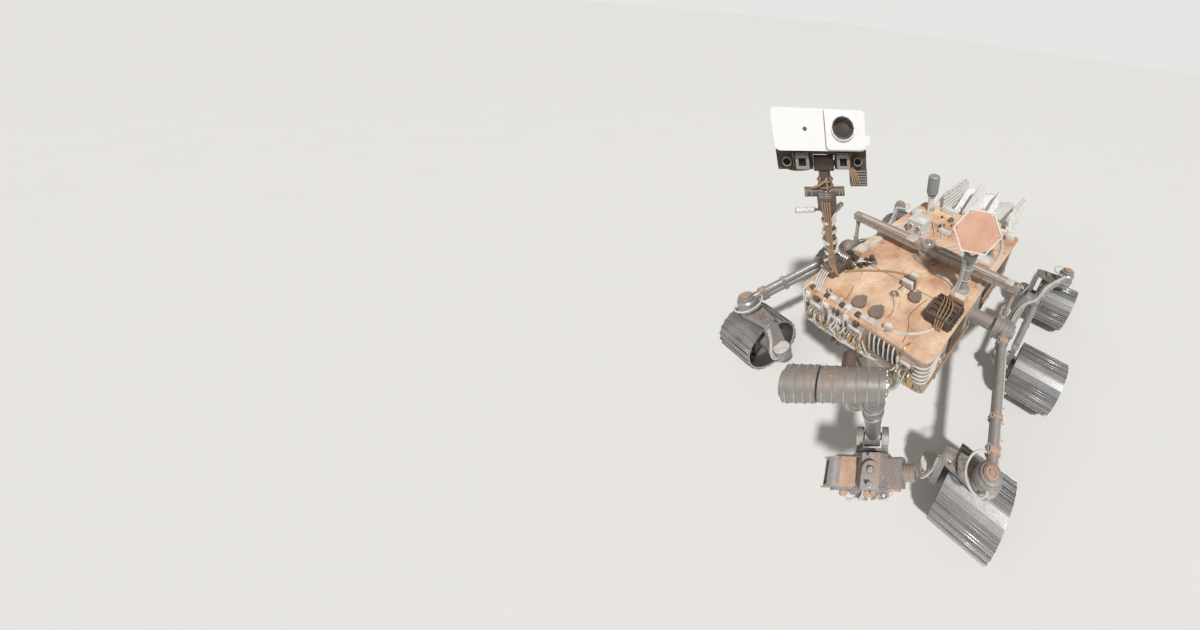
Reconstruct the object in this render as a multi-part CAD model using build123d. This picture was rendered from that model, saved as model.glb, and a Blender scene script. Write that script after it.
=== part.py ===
from build123d import *
import math
import os

# Six-wheeled planetary rover on a rocker-bogie suspension, parked level, with its mast raised and
# its robot arm folded so that the tool turret hangs in front of the box. Millimetres; +X forward,
# +Y port, +Z up, z = 0 on the ground. Sizes are laid out from the middle axle; DATUM_X then moves
# every piece so that x = 0 is half way along the whole machine.

# Clearances: a turning pair, pieces that stand by each other, and pieces that move past each other
FIT = 0.05
SEAT = 0.3
MOVE = 7.0

# Wheels
WHEEL_RADIUS = 250.0
WHEEL_WIDTH = 400.0
RIM_SKIN = 7.0
LUG_COUNT = 24
LUG_HEIGHT = 8.0
LUG_WIDTH = 10.0
RING_DEPTH = 10.0
RING_WIDTH = 76.0
HUB_RADIUS = 78.0
HUB_LENGTH = 90.0
HUB_CHAMFER = 14.0
AXLE_RADIUS = 25.0
SPOKE_COUNT = 8
SPOKE_WIDTH = 58.0
SPOKE_THICK = 8.0
SPOKE_BOW = 26.0
SPOKE_ROOT = 5.0
FRONT_AXLE_X = 1150.0
REAR_AXLE_X = -1100.0
CORNER_TRACK_Y = 1100.0
MIDDLE_TRACK_Y = 1200.0
SKIN_RADIUS = WHEEL_RADIUS - LUG_HEIGHT
SKIN_INNER = SKIN_RADIUS * math.cos(math.pi / LUG_COUNT) - RIM_SKIN
# A wheel rests on two lugs, so its axle stands a little lower than its radius
AXLE_Z = WHEEL_RADIUS * math.cos(math.pi / LUG_COUNT) + LUG_WIDTH / 2 * math.sin(math.pi / LUG_COUNT)

# Wheel legs: the corner ones steer about an upright line through the wheel's centre
LEG_INBOARD = 262.0
LEG_THICK = 44.0
LEG_FOOT_RADIUS = 80.0
LEG_TOP_RADIUS = 50.0
ARM_THICK = 44.0
ARM_TOP_Z = 605.0
MIDDLE_LEG_Z = 482.0
GEAR_RADIUS = 66.0
MOTOR_RADIUS = 46.0
MOTOR_INBOARD = 400.0
BRAKE_RADIUS = 60.0
BRAKE_HEIGHT = 78.0
BRAKE_DEPTH = 50.0
SPINDLE_RADIUS = 30.0
SPINDLE_END = 12.0
STEER_RADIUS = 74.0
STEER_FLANGE = 86.0
STEER_LOW = ARM_TOP_Z + MOVE
STEER_TOP = 745.0
STEER_MID = (STEER_LOW + STEER_TOP) / 2

# Rocker and bogie
ROCKER_X = 220.0
ROCKER_Y = 810.0
ROCKER_Z = 850.0
PIVOT_RADIUS = 92.0
PIVOT_TUBE = 58.0
PIVOT_FLANGE = 88.0
BOGIE_X = -560.0
BOGIE_Y = 900.0
BOGIE_Z = 600.0
KNUCKLE_RADIUS = 74.0
KNUCKLE = 62.0
KNUCKLE_GAP = 5.0
PIN_RADIUS = 30.0
TUBE_RADIUS = 31.0
TUBE_GAP = 76.0
TUBE_PINCH = 0.62
BEAM_RADIUS = 48.0
BEAM_END_RADIUS = 38.0
BOGIE_TUBE = 36.0
BOGIE_TUBE_END = 30.0

# Equipment box and deck
BODY_AFT = -750.0
BODY_FRONT = 1000.0
BODY_HALF = 530.0
BELLY_Z = 660.0
BODY_TOP = 1080.0
BODY_CORNER = 60.0
BODY_RAKE_AFT = 130.0
BODY_RAKE_FRONT = 70.0
PANEL_DEPTH = 6.0
DECK_THICK = 20.0
DECK_OVERHANG = 18.0
DECK_Z = BODY_TOP + DECK_THICK
RIB_X = 800.0
RIB_Y = -60.0
RIB_RADIUS = 250.0
RIB_WIDTH = 40.0
RIB_HEIGHT = 9.0

# Differential across the deck
BEAM_X = 120.0
BEAM_Z = DECK_Z + 105.0
BEAM_END_Y = 790.0
BEAM_WAIST_Y = 240.0
BEAM_HEIGHT = 60.0
BEAM_WIDTH = 92.0
BEAM_TIP_WIDTH = 60.0
LINK_X = ROCKER_X - 60.0
LINK_Y = 762.0
LINK_LOW = 960.0
LINK_RADIUS = 17.0
LINK_END_RADIUS = 22.0

# Mast
MAST_X = 740.0
MAST_Y = -478.0
MAST_RADIUS = 38.0
MAST_FOOT = 56.0
MAST_BASE_TOP = DECK_Z + 120.0
LATCH_BACK = 112.0
LATCH_RADIUS = 56.0
PAN_Z = 1740.0
PAN_RADIUS = 60.0
TILT_Z = 1950.0
PAN_REST = 47.0
TILT_REST = 15.0
TILT_SHAFT = 18.0
YOKE_HALF = 58.0
BAR_HALF = 250.0
BAR_LOW = -30.0
HEAD_HALF = 235.0
HEAD_LOW = 78.0
HEAD_TOP = 283.0
HEAD_FRONT = 150.0
HEAD_BACK = 200.0
HEAD_CORNER = 26.0
EYE_Y = 117.0
EYE_Z = 196.0
EYE_RADIUS = 50.0
EYE_RING = 12.0
BOOM_Z = 1640.0

# High-gain antenna
HGA_X = 280.0
HGA_Y = 410.0
HGA_POST = 36.0
HGA_PAN_Z = 1450.0
HGA_TILT_Z = 1550.0
HGA_PAN_REST = 20.0
HGA_TILT_REST = 32.0
HGA_ACROSS = 270.0
HGA_THICK = 20.0
HGA_OUT = 74.0
HGA_UP = 60.0

# Other things on the deck
UHF_X = -640.0
UHF_Y = -420.0
UHF_RADIUS = 58.0
LIFT_RADIUS = 26.0
LIFT_BORE = 12.0
LIFT_HEIGHT = 40.0
FUNNEL_HEIGHT = 28.0
FUNNEL_WALL = 8.0
FUNNEL_FLOOR = 6.0
FUNNEL_IN = 6.0
LID_THICK = 9.0
HINGE_RADIUS = 5.0

# Robot arm: lengths, and angles above the level at rest
ARM_X = 1240.0
ARM_Y = 200.0
ARM_PAN_Z = 800.0
ARM_LIFT_Z = 900.0
UPPER_LENGTH = 830.0
FORE_LENGTH = 670.0
UPPER_OFFSET = -135.0
FORE_OFFSET = 120.0
UPPER_RADIUS = 48.0
FORE_RADIUS = 42.0
FORE_TIP_RADIUS = 30.0
ARM_PAN_REST = 35.0
ARM_LIFT_REST = 60.0
FORE_REST = -97.0
WRIST_REST = -12.0
AZIMUTH_RADIUS = 74.0
AZIMUTH_SPINDLE = 25.0
LIFT_BARREL = 70.0
LIFT_PIN = 28.0
ELBOW_BARREL = 62.0
ELBOW_PIN = 26.0
WRIST_BARREL = 46.0
WRIST_PIN = 18.0
WRIST_HALF = 40.0
CHEEK = 34.0
TOOL_REACH = 268.0
TURRET_BORE = 30.0
TURRET_START = 80.0
TURRET_END = 240.0
TURRET_RADIUS = 102.0

# Generator aft
GENERATOR_X = -1180.0
GENERATOR_Z = 930.0
GENERATOR_TILT = 28.0
GENERATOR_CORE = 120.0
GENERATOR_FINS = 318.0
GENERATOR_LENGTH = 620.0
FIN_COUNT = 8
FIN_THICK = 8.0
EXCHANGER_Y = 352.0
EXCHANGER_THICK = 22.0

SIDES = (("left", 1), ("right", -1))
AXLES = (
    # name, x, |y|, steered
    ("front", FRONT_AXLE_X, CORNER_TRACK_Y, True),
    ("middle", 0.0, MIDDLE_TRACK_Y, False),
    ("rear", REAR_AXLE_X, CORNER_TRACK_Y, True),
)
PIECES = {}


def between(low, high):
    """Block between two opposite corners."""
    size = [b - a for a, b in zip(low, high)]
    centre = [(a + b) / 2 for a, b in zip(low, high)]
    return Pos(*centre) * Box(*size)


def rod(start, end, radius):
    """Round bar from one point to another."""
    a = Vector(*start)
    b = Vector(*end)
    plane = Plane(origin=a, z_dir=b - a)
    return plane * Cylinder(radius, (b - a).length, align=(Align.CENTER, Align.CENTER, Align.MIN))


def taper(start, end, radius, end_radius):
    """Round bar that changes radius evenly from one end to the other."""
    a = Vector(*start)
    b = Vector(*end)
    plane = Plane(origin=a, z_dir=b - a)
    return plane * Cone(radius, end_radius, (b - a).length, align=(Align.CENTER, Align.CENTER, Align.MIN))


def turned(points):
    """Turned form about Z from (radius, height) points."""
    return revolve(Plane.XZ * make_face(Polyline(*points, close=True)), Axis.Z, 360)


def upright(y):
    """Plane across port and starboard at that y, its own u along X and its own v up."""
    return Plane(origin=(0, y, 0), x_dir=(1, 0, 0), z_dir=(0, -1, 0))


def strap(plane, start, end, thick):
    """Flat plate drawn tight round two discs (u, v, radius), half its thickness each side of a plane."""
    (u0, v0, r0), (u1, v1, r1) = start, end
    heading = math.atan2(v1 - v0, u1 - u0)
    swing = math.acos((r0 - r1) / math.hypot(u1 - u0, v1 - v0))
    corners = []
    for u, v, r, sign in ((u0, v0, r0, 1), (u1, v1, r1, 1), (u1, v1, r1, -1), (u0, v0, r0, -1)):
        angle = heading + sign * swing
        corners.append((u + r * math.cos(angle), v + r * math.sin(angle)))
    outline = make_face(Polyline(*corners, close=True))
    outline = outline + Pos(u0, v0) * Circle(r0) + Pos(u1, v1) * Circle(r1)
    return extrude(plane * outline, thick / 2, both=True)


def side(piece, sign):
    """The piece as made for port, or its mirror image for starboard."""
    return piece if sign > 0 else piece.mirror(Plane.XZ)


def on_axle(piece, x, y):
    """A piece made about Z, its outboard side up, moved onto a port axle."""
    return Pos(x, y, AXLE_Z) * Rot(-90, 0, 0) * piece


# Wheels
def rim(x, y):
    """Drum machined with straight lugs across its tread."""
    outline = Rot(0, 0, 180 / LUG_COUNT) * RegularPolygon(SKIN_RADIUS, LUG_COUNT)
    lug = Pos(WHEEL_RADIUS - LUG_HEIGHT, 0) * Rectangle(LUG_HEIGHT * 2, LUG_WIDTH)
    for n in range(LUG_COUNT):
        outline = outline + Rot(0, 0, 360 / LUG_COUNT * (n + 0.5)) * lug
    drum = extrude(outline - Circle(SKIN_INNER), WHEEL_WIDTH / 2, both=True)
    return on_axle(drum, x, y)


def hub(x, y):
    """Hub, bowed spokes that spring, and the ring that they carry inside the rim."""
    ring_outer = SKIN_INNER - SEAT
    ring_inner = ring_outer - RING_DEPTH
    half = HUB_LENGTH / 2
    body = turned(
        (
            (AXLE_RADIUS + FIT, -half),
            (HUB_RADIUS, -half),
            (HUB_RADIUS, half - HUB_CHAMFER),
            (HUB_RADIUS - HUB_CHAMFER, half),
            (AXLE_RADIUS + FIT, half),
        )
    )
    turn = math.radians(180 / SPOKE_COUNT)
    start = Vector(HUB_RADIUS - SPOKE_ROOT, 0)
    end = Vector(math.cos(turn), math.sin(turn)) * (ring_inner + SPOKE_ROOT)
    chord = end - start
    middle = (start + end) / 2 + Vector(chord.Y, -chord.X).normalized() * SPOKE_BOW
    spoke = extrude(trace(ThreePointArc(start, middle, end), line_width=SPOKE_THICK), SPOKE_WIDTH / 2, both=True)
    for n in range(SPOKE_COUNT):
        body = body + Rot(0, 0, 360 / SPOKE_COUNT * n) * spoke
    ring = extrude(Circle(ring_outer) - Circle(ring_inner), RING_WIDTH / 2, both=True)
    return on_axle(body + ring, x, y)


def drive(x, y, leg_y):
    """Wheel drive: gear case through the leg, motor inboard with its upright brake, axle outboard."""
    case_end = -HUB_LENGTH / 2 - MOVE
    leg = leg_y - y
    case = turned(
        (
            (0, -MOTOR_INBOARD),
            (MOTOR_RADIUS - 8, -MOTOR_INBOARD),
            (MOTOR_RADIUS, -MOTOR_INBOARD + 8),
            (MOTOR_RADIUS, leg - 60),
            (GEAR_RADIUS, leg - 50),
            (GEAR_RADIUS, case_end - 12),
            (GEAR_RADIUS - 12, case_end),
            (AXLE_RADIUS, case_end),
            (AXLE_RADIUS, HUB_LENGTH / 2),
            (0, HUB_LENGTH / 2),
        )
    )
    brake = turned(
        (
            (0, -BRAKE_DEPTH),
            (BRAKE_RADIUS, -BRAKE_DEPTH),
            (BRAKE_RADIUS, BRAKE_HEIGHT - 20),
            (BRAKE_RADIUS + 8, BRAKE_HEIGHT - 20),
            (BRAKE_RADIUS + 8, BRAKE_HEIGHT),
            (BRAKE_RADIUS - 22, BRAKE_HEIGHT),
            (BRAKE_RADIUS - 22, BRAKE_HEIGHT - 14),
            (0, BRAKE_HEIGHT - 14),
        )
    )
    return on_axle(case, x, y) + Pos(x, y - MOTOR_INBOARD + BRAKE_RADIUS + 8, AXLE_Z) * brake


def strut(x, y):
    """Steered leg: spindle and flange, tapered arm over the wheel, leg down to the wheel's drive."""
    leg_y = y - LEG_INBOARD
    mid_z = ARM_TOP_Z - ARM_THICK / 2
    arm_end = leg_y + LEG_TOP_RADIUS - LEG_THICK / 2
    arm = strap(
        Plane.XY.offset(mid_z), (x, y, STEER_FLANGE - 6), (x, arm_end, LEG_TOP_RADIUS), ARM_THICK
    )
    leg = strap(
        upright(leg_y), (x, AXLE_Z, LEG_FOOT_RADIUS), (x, ARM_TOP_Z - LEG_TOP_RADIUS, LEG_TOP_RADIUS), LEG_THICK
    )
    spindle = rod((x, y, mid_z), (x, y, STEER_TOP - SPINDLE_END), SPINDLE_RADIUS)
    return arm + leg + spindle + drive(x, y, leg_y)


def steer_can(x, y):
    """Steering actuator with a flange below, a stepped cap on top, and its bore for the spindle."""
    can = turned(
        (
            (0, STEER_LOW),
            (STEER_FLANGE, STEER_LOW),
            (STEER_FLANGE, STEER_LOW + 14),
            (STEER_RADIUS, STEER_LOW + 20),
            (STEER_RADIUS, STEER_TOP - 34),
            (STEER_RADIUS - 14, STEER_TOP - 22),
            (STEER_RADIUS - 14, STEER_TOP),
            (STEER_RADIUS - 30, STEER_TOP + 4),
            (STEER_RADIUS - 30, STEER_TOP + 16),
            (0, STEER_TOP + 16),
        )
    )
    return Pos(x, y, 0) * can


def spindle_bore(x, y):
    return rod((x, y, STEER_LOW - ARM_THICK), (x, y, STEER_TOP - SPINDLE_END + 4), SPINDLE_RADIUS + FIT)


def rocker():
    """Pivot drum with twin tubes to the front steering actuator and one tapered beam aft."""
    drum = turned(
        (
            (0, -76),
            (PIVOT_RADIUS + 12, -76),
            (PIVOT_RADIUS + 12, -58),
            (PIVOT_RADIUS, -54),
            (PIVOT_RADIUS, 46),
            (PIVOT_RADIUS - 16, 56),
            (PIVOT_RADIUS - 16, 66),
            (34, 66),
            (34, 80),
            (0, 80),
        )
    )
    body = Pos(ROCKER_X, ROCKER_Y, ROCKER_Z) * Rot(-90, 0, 0) * drum
    body = body + rod((ROCKER_X, BODY_HALF, ROCKER_Z), (ROCKER_X, ROCKER_Y, ROCKER_Z), PIVOT_TUBE)
    body = body + rod((ROCKER_X, BODY_HALF, ROCKER_Z), (ROCKER_X, BODY_HALF + 16, ROCKER_Z), PIVOT_FLANGE)
    start = Vector(ROCKER_X + 40, ROCKER_Y, ROCKER_Z)
    end = Vector(FRONT_AXLE_X - STEER_RADIUS + 12, CORNER_TRACK_Y - 6, STEER_MID + 4)
    run = end - start
    spread = Vector(-run.Z, 0, run.X).normalized() * (TUBE_GAP / 2)
    for sign in (-1, 1):
        body = body + rod(start + spread * sign, end + spread * sign * TUBE_PINCH, TUBE_RADIUS)
    for share, length in ((0.10, 60), (0.70, 34), (0.91, 60)):
        frame = Plane(origin=start + run * share, x_dir=run, z_dir=run.cross(spread))
        squeeze = 1 - (1 - TUBE_PINCH) * share
        high = TUBE_GAP * squeeze + 2 * TUBE_RADIUS - 14
        body = body + frame * Box(length, high, 2 * TUBE_RADIUS + 12)
    body = body + steer_can(FRONT_AXLE_X, CORNER_TRACK_Y) - spindle_bore(FRONT_AXLE_X, CORNER_TRACK_Y)
    body = body + strap(upright(LINK_Y), (ROCKER_X, ROCKER_Z, 70), (LINK_X, LINK_LOW - 24, 24), 40)
    aft_end = (BOGIE_X, BOGIE_Y - KNUCKLE / 2 - 20, BOGIE_Z)
    body = body + taper((ROCKER_X, ROCKER_Y, ROCKER_Z), aft_end, BEAM_RADIUS, BEAM_END_RADIUS)
    near = BOGIE_Y - KNUCKLE_GAP
    body = body + rod((BOGIE_X, near - KNUCKLE, BOGIE_Z), (BOGIE_X, near, BOGIE_Z), KNUCKLE_RADIUS)
    pin_end = BOGIE_Y + KNUCKLE + 14
    return body + rod((BOGIE_X, near - 10, BOGIE_Z), (BOGIE_X, pin_end, BOGIE_Z), PIN_RADIUS)


def bogie():
    """Beam from the middle wheel's leg over the bogie pivot to the rear steering actuator."""
    beam_y = BOGIE_Y + 42
    leg_y = MIDDLE_TRACK_Y - LEG_INBOARD + 6
    far = BOGIE_Y + KNUCKLE + 10
    body = rod((BOGIE_X, BOGIE_Y, BOGIE_Z), (BOGIE_X, far, BOGIE_Z), KNUCKLE_RADIUS + 4)
    body = body + taper((BOGIE_X, beam_y, BOGIE_Z), (0, leg_y, MIDDLE_LEG_Z), BOGIE_TUBE, BOGIE_TUBE_END)
    foot = (0, AXLE_Z, LEG_FOOT_RADIUS)
    body = body + strap(upright(leg_y), foot, (0, MIDDLE_LEG_Z, LEG_TOP_RADIUS), LEG_THICK)
    body = body + drive(0, MIDDLE_TRACK_Y, leg_y)
    bend = (BOGIE_X - 190, beam_y + 30, STEER_MID)
    body = body + rod((BOGIE_X, beam_y, BOGIE_Z), bend, BOGIE_TUBE) + Pos(*bend) * Sphere(BOGIE_TUBE)
    rear_end = (REAR_AXLE_X + STEER_RADIUS - 10, CORNER_TRACK_Y, STEER_MID)
    body = body + taper(bend, rear_end, BOGIE_TUBE, BOGIE_TUBE_END)
    body = body + steer_can(REAR_AXLE_X, CORNER_TRACK_Y) - spindle_bore(REAR_AXLE_X, CORNER_TRACK_Y)
    bore_end = (BOGIE_X, BOGIE_Y + KNUCKLE + 16, BOGIE_Z)
    return body - rod((BOGIE_X, BOGIE_Y - 1, BOGIE_Z), bore_end, PIN_RADIUS + FIT)


for name, x, y, steered in AXLES:
    for where, sign in SIDES:
        PIECES[f"rim_{name}_{where}"] = side(rim(x, y), sign)
        PIECES[f"hub_{name}_{where}"] = side(hub(x, y), sign)
        if steered:
            PIECES[f"strut_{name}_{where}"] = side(strut(x, y), sign)
for where, sign in SIDES:
    PIECES[f"rocker_{where}"] = side(rocker(), sign)
    PIECES[f"bogie_{where}"] = side(bogie(), sign)


# Equipment box and deck
SIDE_PANELS = (
    # x from, x to, z from, z to
    (-600.0, 60.0, 800.0, 1040.0),
    (390.0, 900.0, 760.0, 1040.0),
)
FRONT_PLATES = (
    # y from, y to, z from, z to, how far it stands out
    (-440.0, -300.0, 930.0, 1060.0, 26.0),
    (-270.0, -120.0, 860.0, 1040.0, 20.0),
    (-80.0, 60.0, 940.0, 1062.0, 24.0),
    (340.0, 460.0, 880.0, 1040.0, 22.0),
)


def equipment_box():
    """Closed box with round upright corners, raked lower ends, and sunk and raised panels."""
    profile = Polyline(
        (BODY_AFT, BODY_TOP),
        (BODY_AFT, BELLY_Z + BODY_RAKE_AFT),
        (BODY_AFT + BODY_RAKE_AFT, BELLY_Z),
        (BODY_FRONT - BODY_RAKE_FRONT, BELLY_Z),
        (BODY_FRONT, BELLY_Z + BODY_RAKE_FRONT),
        (BODY_FRONT, BODY_TOP),
        close=True,
    )
    box = extrude(Plane.XZ * make_face(profile), BODY_HALF, both=True)
    middle = (BODY_FRONT + BODY_AFT) / 2
    plan = Pos(middle, 0) * RectangleRounded(BODY_FRONT - BODY_AFT, BODY_HALF * 2, BODY_CORNER)
    box = box & extrude(plan, BODY_TOP)
    for x0, x1, z0, z1 in SIDE_PANELS:
        for low, high in ((BODY_HALF - PANEL_DEPTH, BODY_HALF + 1), (-BODY_HALF - 1, PANEL_DEPTH - BODY_HALF)):
            box = box - between((x0, low, z0), (x1, high, z1))
    for y0, y1, z0, z1, out in FRONT_PLATES:
        box = box + between((BODY_FRONT - 1, y0, z0), (BODY_FRONT + out, y1, z1))
    return box


def deck():
    """Deck panel with the round rib pressed up in its front."""
    middle = (BODY_FRONT + BODY_AFT - DECK_OVERHANG) / 2
    length = BODY_FRONT - BODY_AFT + DECK_OVERHANG
    outline = Pos(middle, 0) * RectangleRounded(length, (BODY_HALF + DECK_OVERHANG) * 2, BODY_CORNER)
    panel = Pos(0, 0, BODY_TOP) * extrude(outline, DECK_THICK)
    rib = Pos(RIB_X, RIB_Y) * (Circle(RIB_RADIUS) - Circle(RIB_RADIUS - RIB_WIDTH))
    rib = rib & Pos(middle, 0) * Rectangle(length - 2 * DECK_OVERHANG, 2 * BODY_HALF)
    return panel + Pos(0, 0, DECK_Z - 1) * extrude(rib, RIB_HEIGHT + 1)


PIECES["body_box"] = equipment_box()
PIECES["deck_panel"] = deck()

# Differential: pivot on the deck, beam across, and a link down to each rocker
beam_plan = Polyline(
    (BEAM_X - BEAM_WIDTH / 2, 0),
    (BEAM_X - BEAM_WIDTH / 2, BEAM_WAIST_Y),
    (BEAM_X - BEAM_TIP_WIDTH / 2, BEAM_END_Y),
    (BEAM_X + BEAM_TIP_WIDTH / 2, BEAM_END_Y),
    (BEAM_X + BEAM_WIDTH / 2, BEAM_WAIST_Y),
    (BEAM_X + BEAM_WIDTH / 2, 0),
    close=True,
)
half_beam = Pos(0, 0, BEAM_Z) * extrude(make_face(beam_plan), BEAM_HEIGHT / 2, both=True)
beam_low = BEAM_Z - BEAM_HEIGHT / 2
cap = rod((BEAM_X, 0, BEAM_Z), (BEAM_X, 0, BEAM_Z + BEAM_HEIGHT / 2 + 20), 62)
PIECES["differential_beam"] = half_beam + half_beam.mirror(Plane.XZ) + cap
pivot = turned(
    ((0, DECK_Z), (112, DECK_Z), (112, DECK_Z + 14), (78, DECK_Z + 26), (78, beam_low), (0, beam_low))
)
PIECES["differential_pivot"] = Pos(BEAM_X, 0, 0) * pivot
for where, sign in SIDES:
    foot = (LINK_X, LINK_Y, LINK_LOW)
    top = (BEAM_X, LINK_Y, beam_low)
    link = rod(foot, (LINK_X, LINK_Y, LINK_LOW + 30), LINK_END_RADIUS)
    link = link + rod((BEAM_X, LINK_Y, beam_low - 30), top, LINK_END_RADIUS)
    link = link + rod((LINK_X, LINK_Y, LINK_LOW + 18), (BEAM_X, LINK_Y, beam_low - 18), LINK_RADIUS)
    PIECES[f"differential_link_{where}"] = side(link, sign)


# Mast, pan unit and head
def aimed(piece, x, y, z, pan, tilt):
    """Piece made about the origin facing +X, raised by tilt and panned, then placed."""
    return Pos(x, y, z) * Rot(0, 0, pan) * Rot(0, -tilt, 0) * piece


base = Pos(MAST_X, MAST_Y, DECK_Z) * extrude(RectangleRounded(150, 132, 14), 60)
base = base + rod((MAST_X, MAST_Y, DECK_Z), (MAST_X, MAST_Y, MAST_BASE_TOP), MAST_FOOT)
latch_z = DECK_Z + LATCH_RADIUS + 8
latch_x = MAST_X - LATCH_BACK
base = base + between((latch_x, MAST_Y - 40, DECK_Z), (MAST_X, MAST_Y + 40, DECK_Z + 50))
base = base + rod((latch_x, MAST_Y - 62, latch_z), (latch_x, MAST_Y + 96, latch_z), LATCH_RADIUS)
PIECES["mast_base"] = base + rod((latch_x, MAST_Y + 90, latch_z), (latch_x, MAST_Y + 118, latch_z), 36)
column = turned(
    (
        (0, MAST_BASE_TOP),
        (MAST_FOOT, MAST_BASE_TOP),
        (MAST_FOOT, MAST_BASE_TOP + 22),
        (MAST_RADIUS, MAST_BASE_TOP + 60),
        (MAST_RADIUS, PAN_Z - 120),
        (PAN_RADIUS, PAN_Z - 92),
        (PAN_RADIUS, PAN_Z - 5),
        (0, PAN_Z - 5),
    )
)
column = Pos(MAST_X, MAST_Y, 0) * column
BOOMS = (
    # heading, height, reach from the mast's middle
    (-42.0, BOOM_Z, 200.0),
    (-162.0, BOOM_Z - 60, 200.0),
)
for heading, height, reach in BOOMS:
    boom = rod((0, 0, 0), (reach, 0, 0), 9) + rod((reach - 120, 0, 0), (reach, 0, 0), 17)
    column = column + Pos(MAST_X, MAST_Y, height) * Rot(0, 0, heading) * boom
PIECES["mast_column"] = column

yoke_z = TILT_Z - PAN_Z
pan_unit = rod((0, 0, SEAT - 5), (0, 0, 45), PAN_RADIUS) + rod((0, 0, 45), (0, 0, yoke_z - 40), 34)
pan_unit = pan_unit + rod((10, -126, 31), (10, 112, 31), 30)
pan_unit = pan_unit + rod((0, -YOKE_HALF, yoke_z), (0, YOKE_HALF, yoke_z), 46)
pan_unit = pan_unit + rod((0, -YOKE_HALF - 38, yoke_z), (0, YOKE_HALF + 38, yoke_z), TILT_SHAFT)
PIECES["pan_unit"] = aimed(pan_unit, MAST_X, MAST_Y, PAN_Z, PAN_REST, 0)

bar = between((-62, -BAR_HALF, BAR_LOW), (40, BAR_HALF, HEAD_LOW - SEAT))
bar = bar - between((-70, -YOKE_HALF - 6, BAR_LOW - 1), (70, YOKE_HALF + 6, HEAD_LOW - 22))
CAMERAS = (-112.0, 112.0)
for across in CAMERAS:
    bar = bar + between((20, across - 37, -26), (96, across + 37, 54))
    bar = bar - between((84, across - 19, -6), (97, across + 19, 34))
LENSES = (-196.0, 196.0)
for across in LENSES:
    bar = bar + rod((30, across, 14), (74, across, 14), 26) - rod((64, across, 14), (75, across, 14), 18)
bar = bar + between((-50, 150, -132), (46, BAR_HALF, BAR_LOW + 1))
shaft_end = YOKE_HALF + 38
bar = bar + rod((0, -shaft_end - 12, 0), (0, -YOKE_HALF - 6, 0), 36)
bar = bar + rod((0, YOKE_HALF + 6, 0), (0, shaft_end + 12, 0), 36)
bar = bar - rod((0, -shaft_end - 1, 0), (0, shaft_end + 1, 0), TILT_SHAFT + FIT)
PIECES["camera_bar"] = aimed(bar, MAST_X, MAST_Y, TILT_Z, PAN_REST, TILT_REST)

head = between((-HEAD_BACK, -HEAD_HALF, HEAD_LOW), (HEAD_FRONT, HEAD_HALF, HEAD_TOP))
head = fillet(head.edges().filter_by(Axis.X), HEAD_CORNER)
door = extrude(Plane.YZ.offset(HEAD_FRONT - 1) * Pos((HEAD_HALF + 18) / 2, (HEAD_LOW + HEAD_TOP) / 2) * RectangleRounded(
    HEAD_HALF - 34, HEAD_TOP - HEAD_LOW - 16, 20
), 13)
head = head + door
eye_face = HEAD_FRONT + 12
head = head + rod((eye_face - 2, EYE_Y, EYE_Z), (eye_face + 14, EYE_Y, EYE_Z), EYE_RADIUS + EYE_RING)
head = head - rod((HEAD_FRONT - 30, EYE_Y, EYE_Z), (eye_face + 15, EYE_Y, EYE_Z), EYE_RADIUS)
head = head + between((50, HEAD_HALF - 1, HEAD_LOW + 30), (120, HEAD_HALF + 28, HEAD_LOW + 82))
PIECES["mast_head"] = aimed(head, MAST_X, MAST_Y, TILT_Z, PAN_REST, TILT_REST)

# High-gain antenna
post = turned(
    (
        (0, DECK_Z),
        (62, DECK_Z),
        (62, DECK_Z + 14),
        (HGA_POST, DECK_Z + 30),
        (HGA_POST, HGA_PAN_Z - 60),
        (48, HGA_PAN_Z - 50),
        (48, HGA_PAN_Z - 3),
        (0, HGA_PAN_Z - 3),
    )
)
post = Pos(HGA_X, HGA_Y, 0) * post
PIECES["antenna_post"] = post - rod((HGA_X, HGA_Y, HGA_PAN_Z - 45), (HGA_X, HGA_Y, HGA_PAN_Z), 12 + FIT)
lift = HGA_TILT_Z - HGA_PAN_Z
yoke = rod((0, 0, 0), (0, 0, 42), 44) + rod((0, 0, 40), (0, 0, lift), 22) + rod((0, 0, -40), (0, 0, 0), 12)
yoke = yoke + rod((0, -30, lift), (0, 30, lift), 28) + rod((0, -52, lift), (0, 52, lift), 8)
PIECES["antenna_yoke"] = aimed(yoke, HGA_X, HGA_Y, HGA_PAN_Z, HGA_PAN_REST, 0)
face_on = Rot(0, 90, 0)
dish = Pos(HGA_OUT, 0, HGA_UP) * face_on * extrude(RegularPolygon(HGA_ACROSS / 2, 6, major_radius=False), HGA_THICK)
back = RegularPolygon(HGA_ACROSS / 3.4, 6, major_radius=False)
dish = dish + Pos(HGA_OUT - 16, 0, HGA_UP) * face_on * extrude(back, 17)
for low, high in ((36, 52), (-52, -36)):
    dish = dish + between((-20, low, -20), (HGA_OUT - 2, high, HGA_UP + 10))
dish = dish - rod((0, -53, 0), (0, 53, 0), 8 + FIT)
PIECES["antenna_panel"] = aimed(dish, HGA_X, HGA_Y, HGA_TILT_Z, HGA_PAN_REST, HGA_TILT_REST)

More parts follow.
